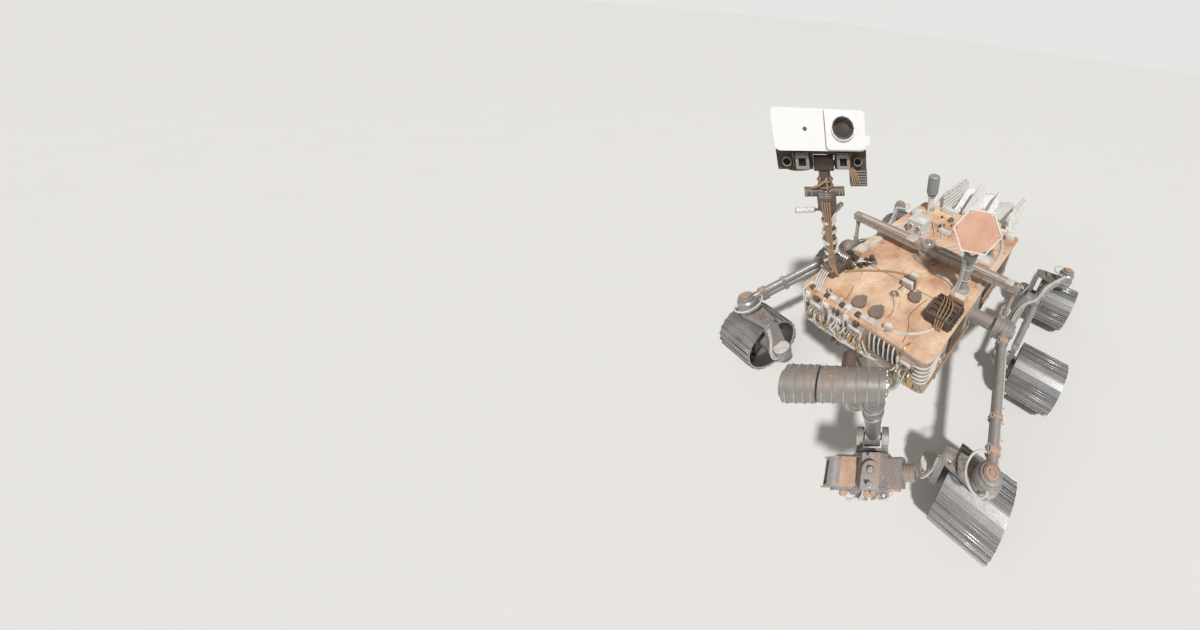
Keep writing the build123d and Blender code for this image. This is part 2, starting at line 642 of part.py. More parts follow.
# Other aerials and deck equipment
uhf = turned(
    (
        (0, 0),
        (52, 0),
        (52, 12),
        (30, 22),
        (30, 150),
        (46, 160),
        (46, 186),
        (UHF_RADIUS, 192),
        (UHF_RADIUS, 366),
        (UHF_RADIUS - 10, 378),
        (0, 378),
    )
)
PIECES["uhf_antenna"] = Pos(UHF_X, UHF_Y, DECK_Z) * uhf
low_gain = turned(
    ((0, 0), (40, 0), (40, 10), (20, 18), (20, 90), (34, 96), (34, 128), (22, 150), (0, 150))
)
PIECES["low_gain_antenna"] = Pos(-280, 420, DECK_Z) * low_gain
AFT_BOX = (-190.0, -280.0, 160.0, 170.0, 140.0)
x, y, length, width, height = AFT_BOX
box = Pos(x, y, DECK_Z) * extrude(RectangleRounded(length, width, 14), height)
for across in (-40, 40):
    port_z = DECK_Z + height * 0.62
    box = box + rod((x + length / 2 - 2, y + across, port_z), (x + length / 2 + 14, y + across, port_z), 20)
PIECES["deck_box_aft"] = box
SIDE_BOX = (610.0, 430.0, 220.0, 190.0, 84.0)
x, y, length, width, height = SIDE_BOX
tray = Pos(x, y, DECK_Z) * extrude(RectangleRounded(length, width, 10), height)
cell = (length - 20) / 4
for n in range(4):
    low_x = x - length / 2 + 10 + n * cell
    tray = tray - between(
        (low_x, y - width / 2 + 12, DECK_Z + height - 16), (low_x + cell - 10, y + width / 2 - 12, DECK_Z + height + 1)
    )
PIECES["deck_box_side"] = tray
DECK_BOXES = (
    # x, y, length, width, height
    (430.0, 455.0, 60.0, 110.0, 66.0),
    (-70.0, 430.0, 140.0, 150.0, 90.0),
    (465.0, 95.0, 56.0, 84.0, 100.0),
    (940.0, 205.0, 40.0, 70.0, 60.0),
    (455.0, -430.0, 120.0, 100.0, 84.0),
    (-560.0, 60.0, 200.0, 250.0, 56.0),
)
boxes = []
for x, y, length, width, height in DECK_BOXES:
    boxes.append(Pos(x, y, DECK_Z) * extrude(RectangleRounded(length, width, 8), height))
PIECES["deck_boxes"] = Compound(boxes)
INLETS = (
    # name, x, y, radius
    ("inlet_cover_front", 880.0, 60.0, 52.0),
    ("inlet_cover_middle", 880.0, -90.0, 52.0),
    ("inlet_cover_port", 600.0, 190.0, 46.0),
)
for name, x, y, radius in INLETS:
    outer = radius - FUNNEL_IN
    funnel = turned(
        (
            (0, DECK_Z),
            (outer, DECK_Z),
            (outer, DECK_Z + FUNNEL_HEIGHT),
            (outer - FUNNEL_WALL, DECK_Z + FUNNEL_HEIGHT),
            (outer - FUNNEL_WALL, DECK_Z + FUNNEL_FLOOR),
            (0, DECK_Z + FUNNEL_FLOOR),
        )
    )
    PIECES[name.replace("cover", "funnel")] = Pos(x, y, 0) * funnel
    low = DECK_Z + FUNNEL_HEIGHT + SEAT
    hinge_x = x - radius - 8
    pin_z = low + LID_THICK / 2
    lid = rod((x, y, low), (x, y, low + LID_THICK), radius)
    lid = lid + rod((x, y, low), (x, y, low + LID_THICK + 4), radius * 0.6)
    lid = lid + rod((hinge_x, y - 20, pin_z), (hinge_x, y + 20, pin_z), HINGE_RADIUS)
    lid = lid + between((hinge_x, y - 15, low), (x - radius + 14, y + 15, low + LID_THICK))
    PIECES[name] = lid

# Three lifting fittings that the machine was lowered by, each a short post with an upright bore
LIFT_POINTS = ((470.0, -300.0), (-560.0, 260.0), (-560.0, -120.0))
posts = []
for x, y in LIFT_POINTS:
    fitting = turned(
        (
            (0, DECK_Z),
            (LIFT_RADIUS + 10, DECK_Z),
            (LIFT_RADIUS, DECK_Z + 12),
            (LIFT_RADIUS, DECK_Z + LIFT_HEIGHT),
            (LIFT_BORE, DECK_Z + LIFT_HEIGHT),
            (LIFT_BORE, DECK_Z + 5),
            (0, DECK_Z + 5),
        )
    )
    posts.append(Pos(x, y, 0) * fitting)
PIECES["lift_fittings"] = Compound(posts)

# Hazard cameras, front and rear
HAZARD_Z = BELLY_Z + 96
cams = between((BODY_FRONT, -250, HAZARD_Z - 20), (BODY_FRONT + 20, 40, HAZARD_Z + 20))
for y in (-226, -166, -44, 16):
    cams = cams + rod((BODY_FRONT + 10, y, HAZARD_Z), (BODY_FRONT + 42, y, HAZARD_Z), 15)
PIECES["hazard_cameras_front"] = cams
rear = []
for sign in (1, -1):
    eyes = between((BODY_AFT - 24, 400, 905), (BODY_AFT, 460, 941))
    for y in (414, 446):
        eyes = eyes + rod((BODY_AFT - 40, y, 923), (BODY_AFT - 12, y, 923), 13)
    rear.append(side(eyes, sign))
PIECES["hazard_cameras_rear"] = Compound(rear)


# Arm: made in its own plane, u outward, v to port, w up, then turned to its azimuth
def arm_place(piece):
    return Pos(ARM_X, ARM_Y, 0) * Rot(0, 0, ARM_PAN_REST) * piece


def polar(origin, angle, length):
    return (
        origin[0] + length * math.cos(math.radians(angle)),
        origin[1] + length * math.sin(math.radians(angle)),
    )


def barrel(point, v0, v1, radius):
    """Round bar across the arm's plane."""
    return rod((point[0], v0, point[1]), (point[0], v1, point[1]), radius)


SHOULDER = (0.0, ARM_LIFT_Z)
ELBOW = polar(SHOULDER, ARM_LIFT_REST, UPPER_LENGTH)
WRIST = polar(ELBOW, FORE_REST, FORE_LENGTH)

can_low = ARM_PAN_Z - 176
web_low = ARM_PAN_Z - 148
web_high = ARM_PAN_Z - 98
can = turned(
    (
        (0, can_low),
        (AZIMUTH_RADIUS - 22, can_low),
        (AZIMUTH_RADIUS - 22, can_low + 24),
        (AZIMUTH_RADIUS - 6, web_low - 2),
        (AZIMUTH_RADIUS - 6, ARM_PAN_Z - 30),
        (AZIMUTH_RADIUS, ARM_PAN_Z - 24),
        (AZIMUTH_RADIUS, ARM_PAN_Z - 2),
        (0, ARM_PAN_Z - 2),
    )
)
web = Polyline(
    (BODY_FRONT, ARM_Y - 80), (ARM_X, ARM_Y - 56), (ARM_X, ARM_Y + 56), (BODY_FRONT, ARM_Y + 80), close=True
)
bracket = Pos(ARM_X, ARM_Y, 0) * can
for low in (web_low, web_high - 16):
    bracket = bracket + Pos(0, 0, low) * extrude(make_face(web), 16)
bracket = bracket + between((BODY_FRONT, ARM_Y - 12, web_low), (ARM_X, ARM_Y + 12, web_high))
bracket = bracket + between((BODY_FRONT, ARM_Y - 110, web_low), (BODY_FRONT + 16, ARM_Y + 110, ARM_PAN_Z - 10))
spindle_low = ARM_PAN_Z - 80
PIECES["arm_bracket"] = bracket - rod(
    (ARM_X, ARM_Y, spindle_low), (ARM_X, ARM_Y, ARM_PAN_Z), AZIMUTH_SPINDLE + FIT
)
shoulder = rod((0, 0, ARM_PAN_Z + 3), (0, 0, ARM_PAN_Z + 24), AZIMUTH_RADIUS - 4)
shoulder = shoulder + rod((0, 0, ARM_PAN_Z + 3), (0, 0, ARM_LIFT_Z - 30), 58)
shoulder = shoulder + barrel(SHOULDER, -66, 62, LIFT_BARREL) + barrel(SHOULDER, 60, 75, LIFT_BARREL - 18)
shoulder = shoulder + barrel(SHOULDER, UPPER_OFFSET - 58, -60, LIFT_PIN)
shoulder = shoulder + rod((0, 0, spindle_low + 5), (0, 0, ARM_PAN_Z + 5), AZIMUTH_SPINDLE)
PIECES["arm_shoulder"] = arm_place(shoulder)

upper_start = polar(SHOULDER, ARM_LIFT_REST, LIFT_BARREL - 12)
upper_end = polar(ELBOW, ARM_LIFT_REST + 180, ELBOW_BARREL - 12)
upper_flange = polar(SHOULDER, ARM_LIFT_REST, LIFT_BARREL + 90)
elbow_flange = polar(ELBOW, ARM_LIFT_REST + 180, ELBOW_BARREL + 80)


def in_plane(point, v):
    return (point[0], v, point[1])


upper = barrel(SHOULDER, UPPER_OFFSET - 55, UPPER_OFFSET + 62, LIFT_BARREL)
upper = upper + barrel(ELBOW, UPPER_OFFSET - 55, UPPER_OFFSET + 58, ELBOW_BARREL + 2)
upper = upper + barrel(ELBOW, UPPER_OFFSET - 68, UPPER_OFFSET - 55, ELBOW_BARREL - 16)
upper = upper + rod(in_plane(upper_start, UPPER_OFFSET), in_plane(upper_end, UPPER_OFFSET), UPPER_RADIUS)
upper = upper + taper(
    in_plane(upper_start, UPPER_OFFSET), in_plane(upper_flange, UPPER_OFFSET), UPPER_RADIUS + 16, UPPER_RADIUS
)
upper = upper + taper(
    in_plane(upper_end, UPPER_OFFSET), in_plane(elbow_flange, UPPER_OFFSET), UPPER_RADIUS + 12, UPPER_RADIUS
)
upper = upper - barrel(SHOULDER, UPPER_OFFSET - 59, UPPER_OFFSET + 63, LIFT_PIN + FIT)
PIECES["arm_upper_link"] = arm_place(upper + barrel(ELBOW, UPPER_OFFSET, FORE_OFFSET + 40, ELBOW_PIN))

fore_start = polar(ELBOW, FORE_REST, ELBOW_BARREL - 12)
fore_flange = polar(ELBOW, FORE_REST, ELBOW_BARREL + 80)
fore_neck = polar(WRIST, FORE_REST + 180, 330)
fore_end = polar(WRIST, FORE_REST + 180, WRIST_BARREL - 10)
fore = barrel(ELBOW, UPPER_OFFSET + 65, FORE_OFFSET + 45, ELBOW_BARREL)
fore = fore + rod(in_plane(fore_start, FORE_OFFSET), in_plane(fore_neck, FORE_OFFSET), FORE_RADIUS)
fore = fore + taper(
    in_plane(fore_start, FORE_OFFSET), in_plane(fore_flange, FORE_OFFSET), FORE_RADIUS + 14, FORE_RADIUS
)
fore = fore + taper(
    in_plane(fore_neck, FORE_OFFSET), in_plane(fore_end, FORE_OFFSET), FORE_RADIUS, FORE_TIP_RADIUS
)
fore = fore - barrel(ELBOW, UPPER_OFFSET + 64, FORE_OFFSET + 46, ELBOW_PIN + FIT)
fore = fore + barrel(WRIST, FORE_OFFSET - WRIST_HALF, FORE_OFFSET + WRIST_HALF, WRIST_BARREL)
pin_half = WRIST_HALF + CHEEK + 4
PIECES["arm_forearm"] = arm_place(fore + barrel(WRIST, FORE_OFFSET - pin_half, FORE_OFFSET + pin_half, WRIST_PIN))


def wrist_place(piece):
    """A piece made about the wrist's own centre, its turret axis along +X, put at the wrist."""
    return arm_place(Pos(WRIST[0], FORE_OFFSET, WRIST[1]) * Rot(0, -WRIST_REST, 0) * piece)


plate_x = TURRET_START - 6
wrist = rod((plate_x - 12, 0, 0), (plate_x, 0, 0), 80)
for v in (-WRIST_HALF - MOVE - CHEEK / 2, WRIST_HALF + MOVE + CHEEK / 2):
    cheek = strap(upright(v), (0, 0, WRIST_BARREL - 2), (40, 0, WRIST_BARREL - 8), CHEEK)
    wrist = wrist + cheek + between((20, v - CHEEK / 2, 8 - WRIST_BARREL), (plate_x, v + CHEEK / 2, WRIST_BARREL - 8))
wrist = wrist & between((-100, -100, -100), (plate_x, 100, 100))
wrist = wrist + rod((plate_x - 2, 0, 0), (TURRET_END + 2, 0, 0), TURRET_BORE)
PIECES["arm_wrist"] = wrist_place(wrist - rod((0, -pin_half - 8, 0), (0, pin_half + 8, 0), WRIST_PIN + FIT))


def drill():
    """Percussion drill: housing, feed tube, bit, and two prongs that press on the rock."""
    tool = between((96, -38, 60), (232, 38, 196)) + rod((164, 0, 120), (164, 0, 236), 34)
    tool = tool + taper((164, 0, 226), (164, 0, 246), 22, 12) + rod((164, 0, 240), (164, 0, TOOL_REACH - 1), 8)
    for x in (112, 216):
        tool = tool + rod((x, 0, 150), (x, 0, TOOL_REACH - 2), 9)
    return tool


def sieve():
    """Sample processor: rounded chamber with a scoop's half-round shell at its end."""
    chamber = fillet(between((90, -56, 60), (226, 56, 178)).edges().filter_by(Axis.Z), 22)
    scoop = rod((100, 0, 178), (216, 0, 178), 52) - rod((112, 0, 196), (204, 0, 196), 40)
    return chamber + scoop - between((80, -60, 216), (236, 60, 300))


def spectrometer():
    """Chemistry sensor: stepped barrel with a contact ring."""
    tool = rod((160, 0, 60), (160, 0, 200), 44) + rod((160, 0, 150), (160, 0, 172), 54)
    return tool + rod((160, 0, 198), (160, 0, 238), 34) - rod((160, 0, 226), (160, 0, 239), 24)


def brush():
    """Dust brush: gear box with a round brush on its spindle."""
    tool = between((104, -40, 60), (210, 40, 150)) + rod((156, 0, 148), (156, 0, 184), 24)
    return tool + taper((156, 0, 182), (156, 0, 214), 20, 34)


def lens_camera():
    """Close-up camera: box, lens barrel, and its cover swung aside."""
    tool = fillet(between((100, -44, 60), (224, 44, 168)).edges().filter_by(Axis.Z), 10)
    tool = tool + rod((162, 0, 166), (162, 0, 226), 36) - rod((162, 0, 214), (162, 0, 227), 26)
    return tool + rod((162, 38, 200), (162, 46, 200), 34) + between((150, 30, 160), (174, 46, 200))


def turret():
    """Drum on the wrist's spindle with five tools around it; made about the origin, axis +X."""
    drum = turned(
        (
            (0, TURRET_START),
            (TURRET_RADIUS - 10, TURRET_START),
            (TURRET_RADIUS, TURRET_START + 10),
            (TURRET_RADIUS, TURRET_END - 12),
            (TURRET_RADIUS - 12, TURRET_END),
            (62, TURRET_END),
            (62, TURRET_END + 14),
            (0, TURRET_END + 14),
        )
    )
    body = Rot(0, 90, 0) * drum
    for angle, tool in ((0, drill()), (72, sieve()), (144, brush()), (216, spectrometer()), (288, lens_camera())):
        body = body + Rot(angle, 0, 0) * tool
    return body - rod((TURRET_START - 1, 0, 0), (TURRET_END + 4, 0, 0), TURRET_BORE + FIT)


PIECES["turret"] = wrist_place(turret())

# Generator: finned drum, tilted, on a stub from the aft wall, between two exchanger panels
half_length = GENERATOR_LENGTH / 2
core = turned(
    (
        (0, -half_length),
        (GENERATOR_CORE - 30, -half_length),
        (GENERATOR_CORE, -half_length + 34),
        (GENERATOR_CORE, half_length - 34),
        (GENERATOR_CORE - 30, half_length),
        (0, half_length),
    )
)
fin_root = GENERATOR_CORE - 20
fin = between((fin_root, -FIN_THICK / 2, 45 - half_length), (GENERATOR_FINS, FIN_THICK / 2, half_length - 45))
fin = chamfer(fin.edges().filter_by(Axis.Y).sort_by(Axis.X)[-2:], 40)
for n in range(FIN_COUNT):
    core = core + Rot(0, 0, 360 / FIN_COUNT * (n + 0.5)) * fin
core = Pos(GENERATOR_X, 0, GENERATOR_Z) * Rot(0, 90 + GENERATOR_TILT, 0) * core
stub_z = GENERATOR_Z - 60
PIECES["generator"] = core + rod((BODY_AFT, 0, stub_z), (GENERATOR_X, 0, stub_z), 70)
exchanger_front = BODY_AFT - 40
exchanger_aft = GENERATOR_X - 330
panel_profile = Polyline(
    (exchanger_front, GENERATOR_Z - 230),
    (exchanger_front, GENERATOR_Z + 280),
    (exchanger_aft + 80, GENERATOR_Z + 280),
    (exchanger_aft, GENERATOR_Z + 200),
    (exchanger_aft, GENERATOR_Z - 160),
    (exchanger_aft + 70, GENERATOR_Z - 230),
    close=True,
)
panel = Pos(0, EXCHANGER_Y, 0) * extrude(Plane.XZ * make_face(panel_profile), -EXCHANGER_THICK)
panel = panel + between(
    (exchanger_front - 20, EXCHANGER_Y - 20, GENERATOR_Z - 40),
    (BODY_AFT, EXCHANGER_Y + EXCHANGER_THICK, GENERATOR_Z + 60),
)
for where, sign in SIDES:
    PIECES[f"heat_exchanger_{where}"] = side(panel, sign)

boxes = [piece.bounding_box() for piece in PIECES.values()]
DATUM_X = -(min(b.min.X for b in boxes) + max(b.max.X for b in boxes)) / 2

os.makedirs("parts", exist_ok=True)
for name, piece in PIECES.items():
    export_step(Pos(DATUM_X, 0, 0) * piece, f"parts/{name}.step")
print("datum", round(DATUM_X, 3), "pieces", len(PIECES))
for axis in "XYZ":
    print(axis, min(getattr(b.min, axis) for b in boxes), max(getattr(b.max, axis) for b in boxes))
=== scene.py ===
import math
import random

import bmesh
import bpy
from mathutils import Matrix, Vector


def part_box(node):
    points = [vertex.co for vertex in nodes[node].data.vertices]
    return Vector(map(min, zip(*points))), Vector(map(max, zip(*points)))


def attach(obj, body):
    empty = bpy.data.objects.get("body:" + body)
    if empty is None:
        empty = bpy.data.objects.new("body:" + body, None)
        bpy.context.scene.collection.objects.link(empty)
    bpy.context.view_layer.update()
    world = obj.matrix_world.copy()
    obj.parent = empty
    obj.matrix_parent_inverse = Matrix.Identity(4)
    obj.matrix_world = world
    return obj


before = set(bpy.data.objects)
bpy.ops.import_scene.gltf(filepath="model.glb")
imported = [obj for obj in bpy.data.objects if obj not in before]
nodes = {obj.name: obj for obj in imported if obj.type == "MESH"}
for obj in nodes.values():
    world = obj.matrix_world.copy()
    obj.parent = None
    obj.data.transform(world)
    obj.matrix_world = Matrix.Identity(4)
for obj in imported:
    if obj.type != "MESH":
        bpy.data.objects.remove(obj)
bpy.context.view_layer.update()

bpy.ops.object.select_all(action="DESELECT")

# The studio: a pale floor under the wheels, one wide soft lamp high on the left of the picture, a
# fainter one from the right, and a camera where the photograph was taken, held above the front
# port wheel and looking back along the deck.
box_low, box_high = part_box("rim_middle_left")
MIDDLE_AXLE_X = (box_low.x + box_high.x) / 2
CAMERA_PLACE = Vector((1.967, 0.883, 2.659))
CAMERA_HEADING = -151.1
CAMERA_PITCH = -38.8
CAMERA_ROLL = 7.1
PICTURE_WIDTH = 1200
PICTURE_HEIGHT = 630
FOCAL = 300.0
AIM_ACROSS = 911.9
AIM_DOWN = 263.7
SENSOR = 36.0


def from_axle(x, y, z):
    """A place given from the middle axle, in the frame."""
    return Vector((x + MIDDLE_AXLE_X, y, z))


def heading_vector(heading, pitch):
    turn = math.radians(heading)
    lift = math.radians(pitch)
    return Vector((math.cos(turn) * math.cos(lift), math.sin(turn) * math.cos(lift), math.sin(lift)))


camera_data = bpy.data.cameras.new("camera")
camera_data.sensor_width = SENSOR
camera_data.lens = FOCAL / PICTURE_WIDTH * SENSOR
camera_data.shift_x = (PICTURE_WIDTH / 2 - AIM_ACROSS) / PICTURE_WIDTH
camera_data.shift_y = (AIM_DOWN - PICTURE_HEIGHT / 2) / PICTURE_WIDTH
camera_data.clip_start = 0.05
camera_data.clip_end = 400.0
camera = bpy.data.objects.new("camera", camera_data)
bpy.context.scene.collection.objects.link(camera)
camera.location = from_axle(*CAMERA_PLACE)
aim = heading_vector(CAMERA_HEADING, CAMERA_PITCH).to_track_quat("-Z", "Y")
camera.rotation_mode = "QUATERNION"
camera.rotation_quaternion = aim @ Matrix.Rotation(math.radians(CAMERA_ROLL), 3, "Z").to_quaternion()
bpy.context.scene.camera = camera
bpy.context.scene.view_settings.view_transform = "Standard"


class Value:
    """A number that varies over a surface; each operator on it adds one Math node."""

    def __init__(self, tree, socket):
        self.tree = tree
        self.socket = socket

    def math(self, operation, first, second):
        node = self.tree.nodes.new("ShaderNodeMath")
        node.operation = operation
        for slot, value in zip(node.inputs, (first, second)):
            if isinstance(value, Value):
                self.tree.links.new(value.socket, slot)
            else:
                slot.default_value = value
        return Value(self.tree, node.outputs[0])

    def __add__(self, other):
        return self.math("ADD", self, other)

    def __sub__(self, other):
        return self.math("SUBTRACT", self, other)

    def __rsub__(self, other):
        return self.math("SUBTRACT", other, self)

    def __mul__(self, other):
        return self.math("MULTIPLY", self, other)

    def clamped(self):
        return self.math("MINIMUM", self.math("MAXIMUM", self, 0.0), 1.0)

    def over(self, low, high):
        """0 below low, 1 above high, straight between them."""
        return ((self - low) * (1 / (high - low))).clamped()


class Finish:
    """One material: its Principled shader, whose constant sockets are set here, and its other nodes."""

    def __init__(self, name, **constants):
        self.material = bpy.data.materials.new(name)
        self.material.use_nodes = True
        self.tree = self.material.node_tree
        self.shader = self.tree.nodes["Principled BSDF"]
        for socket, value in constants.items():
            self.shader.inputs[socket.replace("_", " ")].default_value = value

    def node(self, kind, settings=None, out=0, **sockets):
        """Adds a node, sets it up, joins or sets its sockets, and gives one of its outputs."""
        node = self.tree.nodes.new("ShaderNode" + kind)
        for name, value in (settings or {}).items():
            setattr(node, name, value)
        for name, value in sockets.items():
            slot = node.inputs[int(name[1:])] if name[0] == "s" and name[1:].isdigit() else node.inputs[name]
            if isinstance(value, Value):
                self.tree.links.new(value.socket, slot)
            else:
                colour = isinstance(value, tuple) and slot.type == "RGBA"
                slot.default_value = (*value, 1) if colour else value
        return Value(self.tree, node.outputs[out])

    def place(self):
        return self.node("TexCoord", out="Object")

    def upward(self):
        """How far the surface faces up, from -1 to 1, in the piece's own frame."""
        normal = self.node("TexCoord", out="Normal")
        return self.node("SeparateXYZ", out="Z", Vector=normal)

    def noise(self, scale, detail=3.0, rough=0.55):
        """Cloudy pattern about 0.5, scale in waves per metre."""
        return self.node("TexNoise", Vector=self.place(), Scale=scale, Detail=detail, Roughness=rough)

    def blend(self, share, first, second):
        """Colour between two colours."""
        settings = {"data_type": "RGBA"}
        return self.node("Mix", settings, out=2, s0=share, s6=first, s7=second)

    def feed(self, socket, value):
        self.tree.links.new(value.socket, self.shader.inputs[socket])

    def relief(self, height, distance):
        """Bumps of that height in metres, into the normal."""
        self.feed("Normal", self.node("Bump", Height=height, Distance=distance))


def dress(finish, *starts):
    """Gives the finish to every CAD node whose name starts so."""
    for name, node in nodes.items():
        if name.startswith(starts):
            node.data.materials.clear()
            node.data.materials.append(finish.material)


FLOOR_SPAN = 160.0
FLOOR_COLOUR = (0.76, 0.745, 0.72)
SKY_COLOUR = (0.8, 0.79, 0.775)
bpy.ops.mesh.primitive_plane_add(size=FLOOR_SPAN, location=(0, 0, -0.001))
floor = bpy.context.object
floor.name = "studio_floor"
floor_finish = Finish("pale_floor", Roughness=0.9)
mottle = floor_finish.noise(1.3, 4.0)
floor_finish.feed(
    "Base Color", floor_finish.blend(mottle, FLOOR_COLOUR, tuple(c * 0.97 for c in FLOOR_COLOUR))
)
floor.data.materials.append(floor_finish.material)

world = bpy.data.worlds.new("soft_room")
world.use_nodes = True
bpy.context.scene.world = world
links = world.node_tree.links
backdrop = world.node_tree.nodes["Background"]
backdrop.inputs["Color"].default_value = (*SKY_COLOUR, 1)
backdrop.inputs["Strength"].default_value = 1.0
room = world.node_tree.nodes.new("ShaderNodeBackground")
room.inputs["Color"].default_value = (1.0, 0.98, 0.95, 1)
room.inputs["Strength"].default_value = 0.23
path = world.node_tree.nodes.new("ShaderNodeLightPath")
choice = world.node_tree.nodes.new("ShaderNodeMixShader")
links.new(path.outputs["Is Camera Ray"], choice.inputs[0])
links.new(room.outputs[0], choice.inputs[1])
links.new(backdrop.outputs[0], choice.inputs[2])
links.new(choice.outputs[0], world.node_tree.nodes["World Output"].inputs["Surface"])

LAMPS = (
    # name, heading that it shines along, pitch, strength, how soft in degrees
    ("key_lamp", -120.0, -58.0, 2.9, 4.0),
    ("fill_lamp", 160.0, -30.0, 0.4, 40.0),
)
for name, heading, pitch, strength, softness in LAMPS:
    lamp_data = bpy.data.lights.new(name, "SUN")
    lamp_data.energy = strength
    lamp_data.angle = math.radians(softness)
    lamp = bpy.data.objects.new(name, lamp_data)
    lamp.rotation_mode = "QUATERNION"
    lamp.rotation_quaternion = heading_vector(heading, pitch).to_track_quat("-Z", "Y")
    bpy.context.scene.collection.objects.link(lamp)

# Wheels: each rim is one aluminium forging, turned and milled thin with straight lugs and finer ribs
# between them, and the hub and its curved spokes are titanium, bolted to the drive's axle. Rock has
# scuffed the tread bright and red dust lies in it.
DUST = (0.36, 0.215, 0.135)


def dusty(name, colour, cover=0.0, metallic=0.0, rough=(0.42, 0.8), worn=None, cloud_scale=5.0):
    """Paint or metal under dust that lies on what faces up and in cloudy patches elsewhere."""
    finish = Finish(name, Metallic=metallic)
    cloud = finish.noise(cloud_scale, 5.0)
    fine = finish.noise(cloud_scale * 9, 4.0, 0.65)
    lying = (finish.upward() * 0.3 + cloud * 1.5 + fine * 0.6 - 1.05 + cover).over(0.0, 0.9)
    base = finish.blend(fine.over(0.35, 0.7), colour, tuple(c * 0.8 for c in colour))
    if worn:
        scuffs = finish.noise(90.0, 2.0).over(0.6, 0.68) * cloud.over(0.4, 0.6)
        base = finish.blend(scuffs, base, worn)
    finish.feed("Base Color", finish.blend(lying * 0.85, base, DUST))
    finish.feed("Roughness", lying * (rough[1] - rough[0]) + fine * 0.12 + rough[0] - 0.06)
    if metallic:
        finish.feed("Metallic", metallic - lying * metallic)
    finish.relief(fine * 0.6 + lying * 0.8, 0.0004)
    return finish


wheel_metal = Finish("milled_wheel", Metallic=0.9)
silt = wheel_metal.noise(4.0, 5.0)
tooling = wheel_metal.noise(70.0, 3.0)
powder = (wheel_metal.upward() * 0.25 + silt * 1.6 + tooling * 0.3 - 1.15).over(0.0, 0.8)
aluminium = wheel_metal.blend(tooling.over(0.3, 0.7), (0.45, 0.445, 0.44), (0.33, 0.325, 0.32))
wheel_metal.feed("Base Color", wheel_metal.blend(powder * 0.6, aluminium, (0.33, 0.25, 0.2)))
wheel_metal.feed("Metallic", 0.92 - powder * 0.75)
wheel_metal.feed("Roughness", powder * 0.38 + tooling * 0.1 + 0.33)
wheel_metal.relief(tooling, 0.0002)
lug_metal = dusty(
    "lug_metal", (0.66, 0.65, 0.64), cover=-0.2, metallic=0.9, rough=(0.32, 0.7), cloud_scale=9.0
)
spoke_metal = dusty("wheel_spokes", (0.34, 0.31, 0.29), cover=0.05, metallic=0.6, rough=(0.36, 0.8))
bolt_metal = dusty(
    "bolt_metal", (0.62, 0.6, 0.57), cover=-0.2, metallic=0.9, rough=(0.3, 0.7), cloud_scale=20.0
)
dress(wheel_metal, "rim_")
dress(spoke_metal, "hub_")

AT_AXLE = Matrix.Translation((MIDDLE_AXLE_X, 0, 0))
AHEAD = Vector((1, 0, 0))
PORT = Vector((0, 1, 0))
UP = Vector((0, 0, 1))
SMOOTH_BELOW = math.radians(38)
ORIGIN = Vector((0, 0, 0))
BOTH = (-1, 1)


def take():
    """The object just made, its place put into its mesh."""
    bpy.ops.object.transform_apply(location=True, rotation=True, scale=True)
    return bpy.context.object


def pick(test):
    """In edit mode, selects the faces whose middle and normal pass the test."""
    mesh = bmesh.from_edit_mesh(bpy.context.object.data)
    bpy.ops.mesh.select_mode(type="FACE")
    for face in mesh.faces:
        face.select_set(test(face.calc_center_median(), face.normal))
    bmesh.update_edit_mesh(bpy.context.object.data)


def block(corner, far_corner, bevel=0.003, segments=2):
    """Box with rounded edges between any two opposite corners."""
    low = Vector([min(pair) for pair in zip(corner, far_corner)])
    high = Vector([max(pair) for pair in zip(corner, far_corner)])
    bpy.ops.object.select_all(action="DESELECT")
    bpy.ops.mesh.primitive_cube_add(size=1, location=(low + high) / 2)
    bpy.context.object.scale = high - low
    box = take()
    bpy.ops.object.mode_set(mode="EDIT")
    bpy.ops.mesh.select_all(action="SELECT")
    bpy.ops.mesh.bevel(offset=min(bevel, min(high - low) * 0.45), segments=segments)
    bpy.ops.object.mode_set(mode="OBJECT")
    return box


def drum(start, end, radius, steps=(), sides=32, bevel=0.0015):
    """Round bar; each step (inset, out) narrows its end face and then draws it out or sinks it."""
    start = Vector(start)
    end = Vector(end)
    along = (end - start).normalized()
    turn = along.to_track_quat("Z", "Y").to_euler()
    bpy.ops.object.select_all(action="DESELECT")
    bpy.ops.mesh.primitive_cylinder_add(
        vertices=sides, radius=radius, depth=(end - start).length, location=(start + end) / 2, rotation=turn
    )
    bar = take()
    bpy.ops.object.mode_set(mode="EDIT")
    pick(lambda middle, normal: abs(normal.dot(along)) > 0.9)
    bpy.ops.mesh.bevel(offset=min(bevel, radius * 0.3), segments=1)
    tip = end
    for inset, out in steps:
        pick(lambda middle, normal: normal.dot(along) > 0.9 and (middle - tip).length < 1e-4)
        if inset:
            bpy.ops.mesh.inset(thickness=inset)
        if out:
            bpy.ops.mesh.extrude_region_move(TRANSFORM_OT_translate={"value": along * out})
            tip = tip + along * out
    bpy.ops.object.mode_set(mode="OBJECT")
    return bar


def plug(centre, axis, start, end, radius, steps=(), sides=32):
    """Round bar about an axis through a place, between two distances along it."""
    return drum(Vector(centre) + axis * start, Vector(centre) + axis * end, radius, steps, sides)


def hoop(centre, axis, radius, thick, sides=48, ring=6):
    """Round ring about an axis."""
    turn = Vector(axis).to_track_quat("Z", "Y").to_euler()
    bpy.ops.object.select_all(action="DESELECT")
    bpy.ops.mesh.primitive_torus_add(
        location=centre,
        rotation=turn,
        major_radius=radius,
        minor_radius=thick,
        major_segments=sides,
        minor_segments=ring,
    )
    return take()


def hoops(centre, axis, distances, radius, thick, sides=48):
    """Rings about an axis through a place, at these distances along it."""
    return [hoop(Vector(centre) + axis * far, axis, radius, thick, sides) for far in distances]


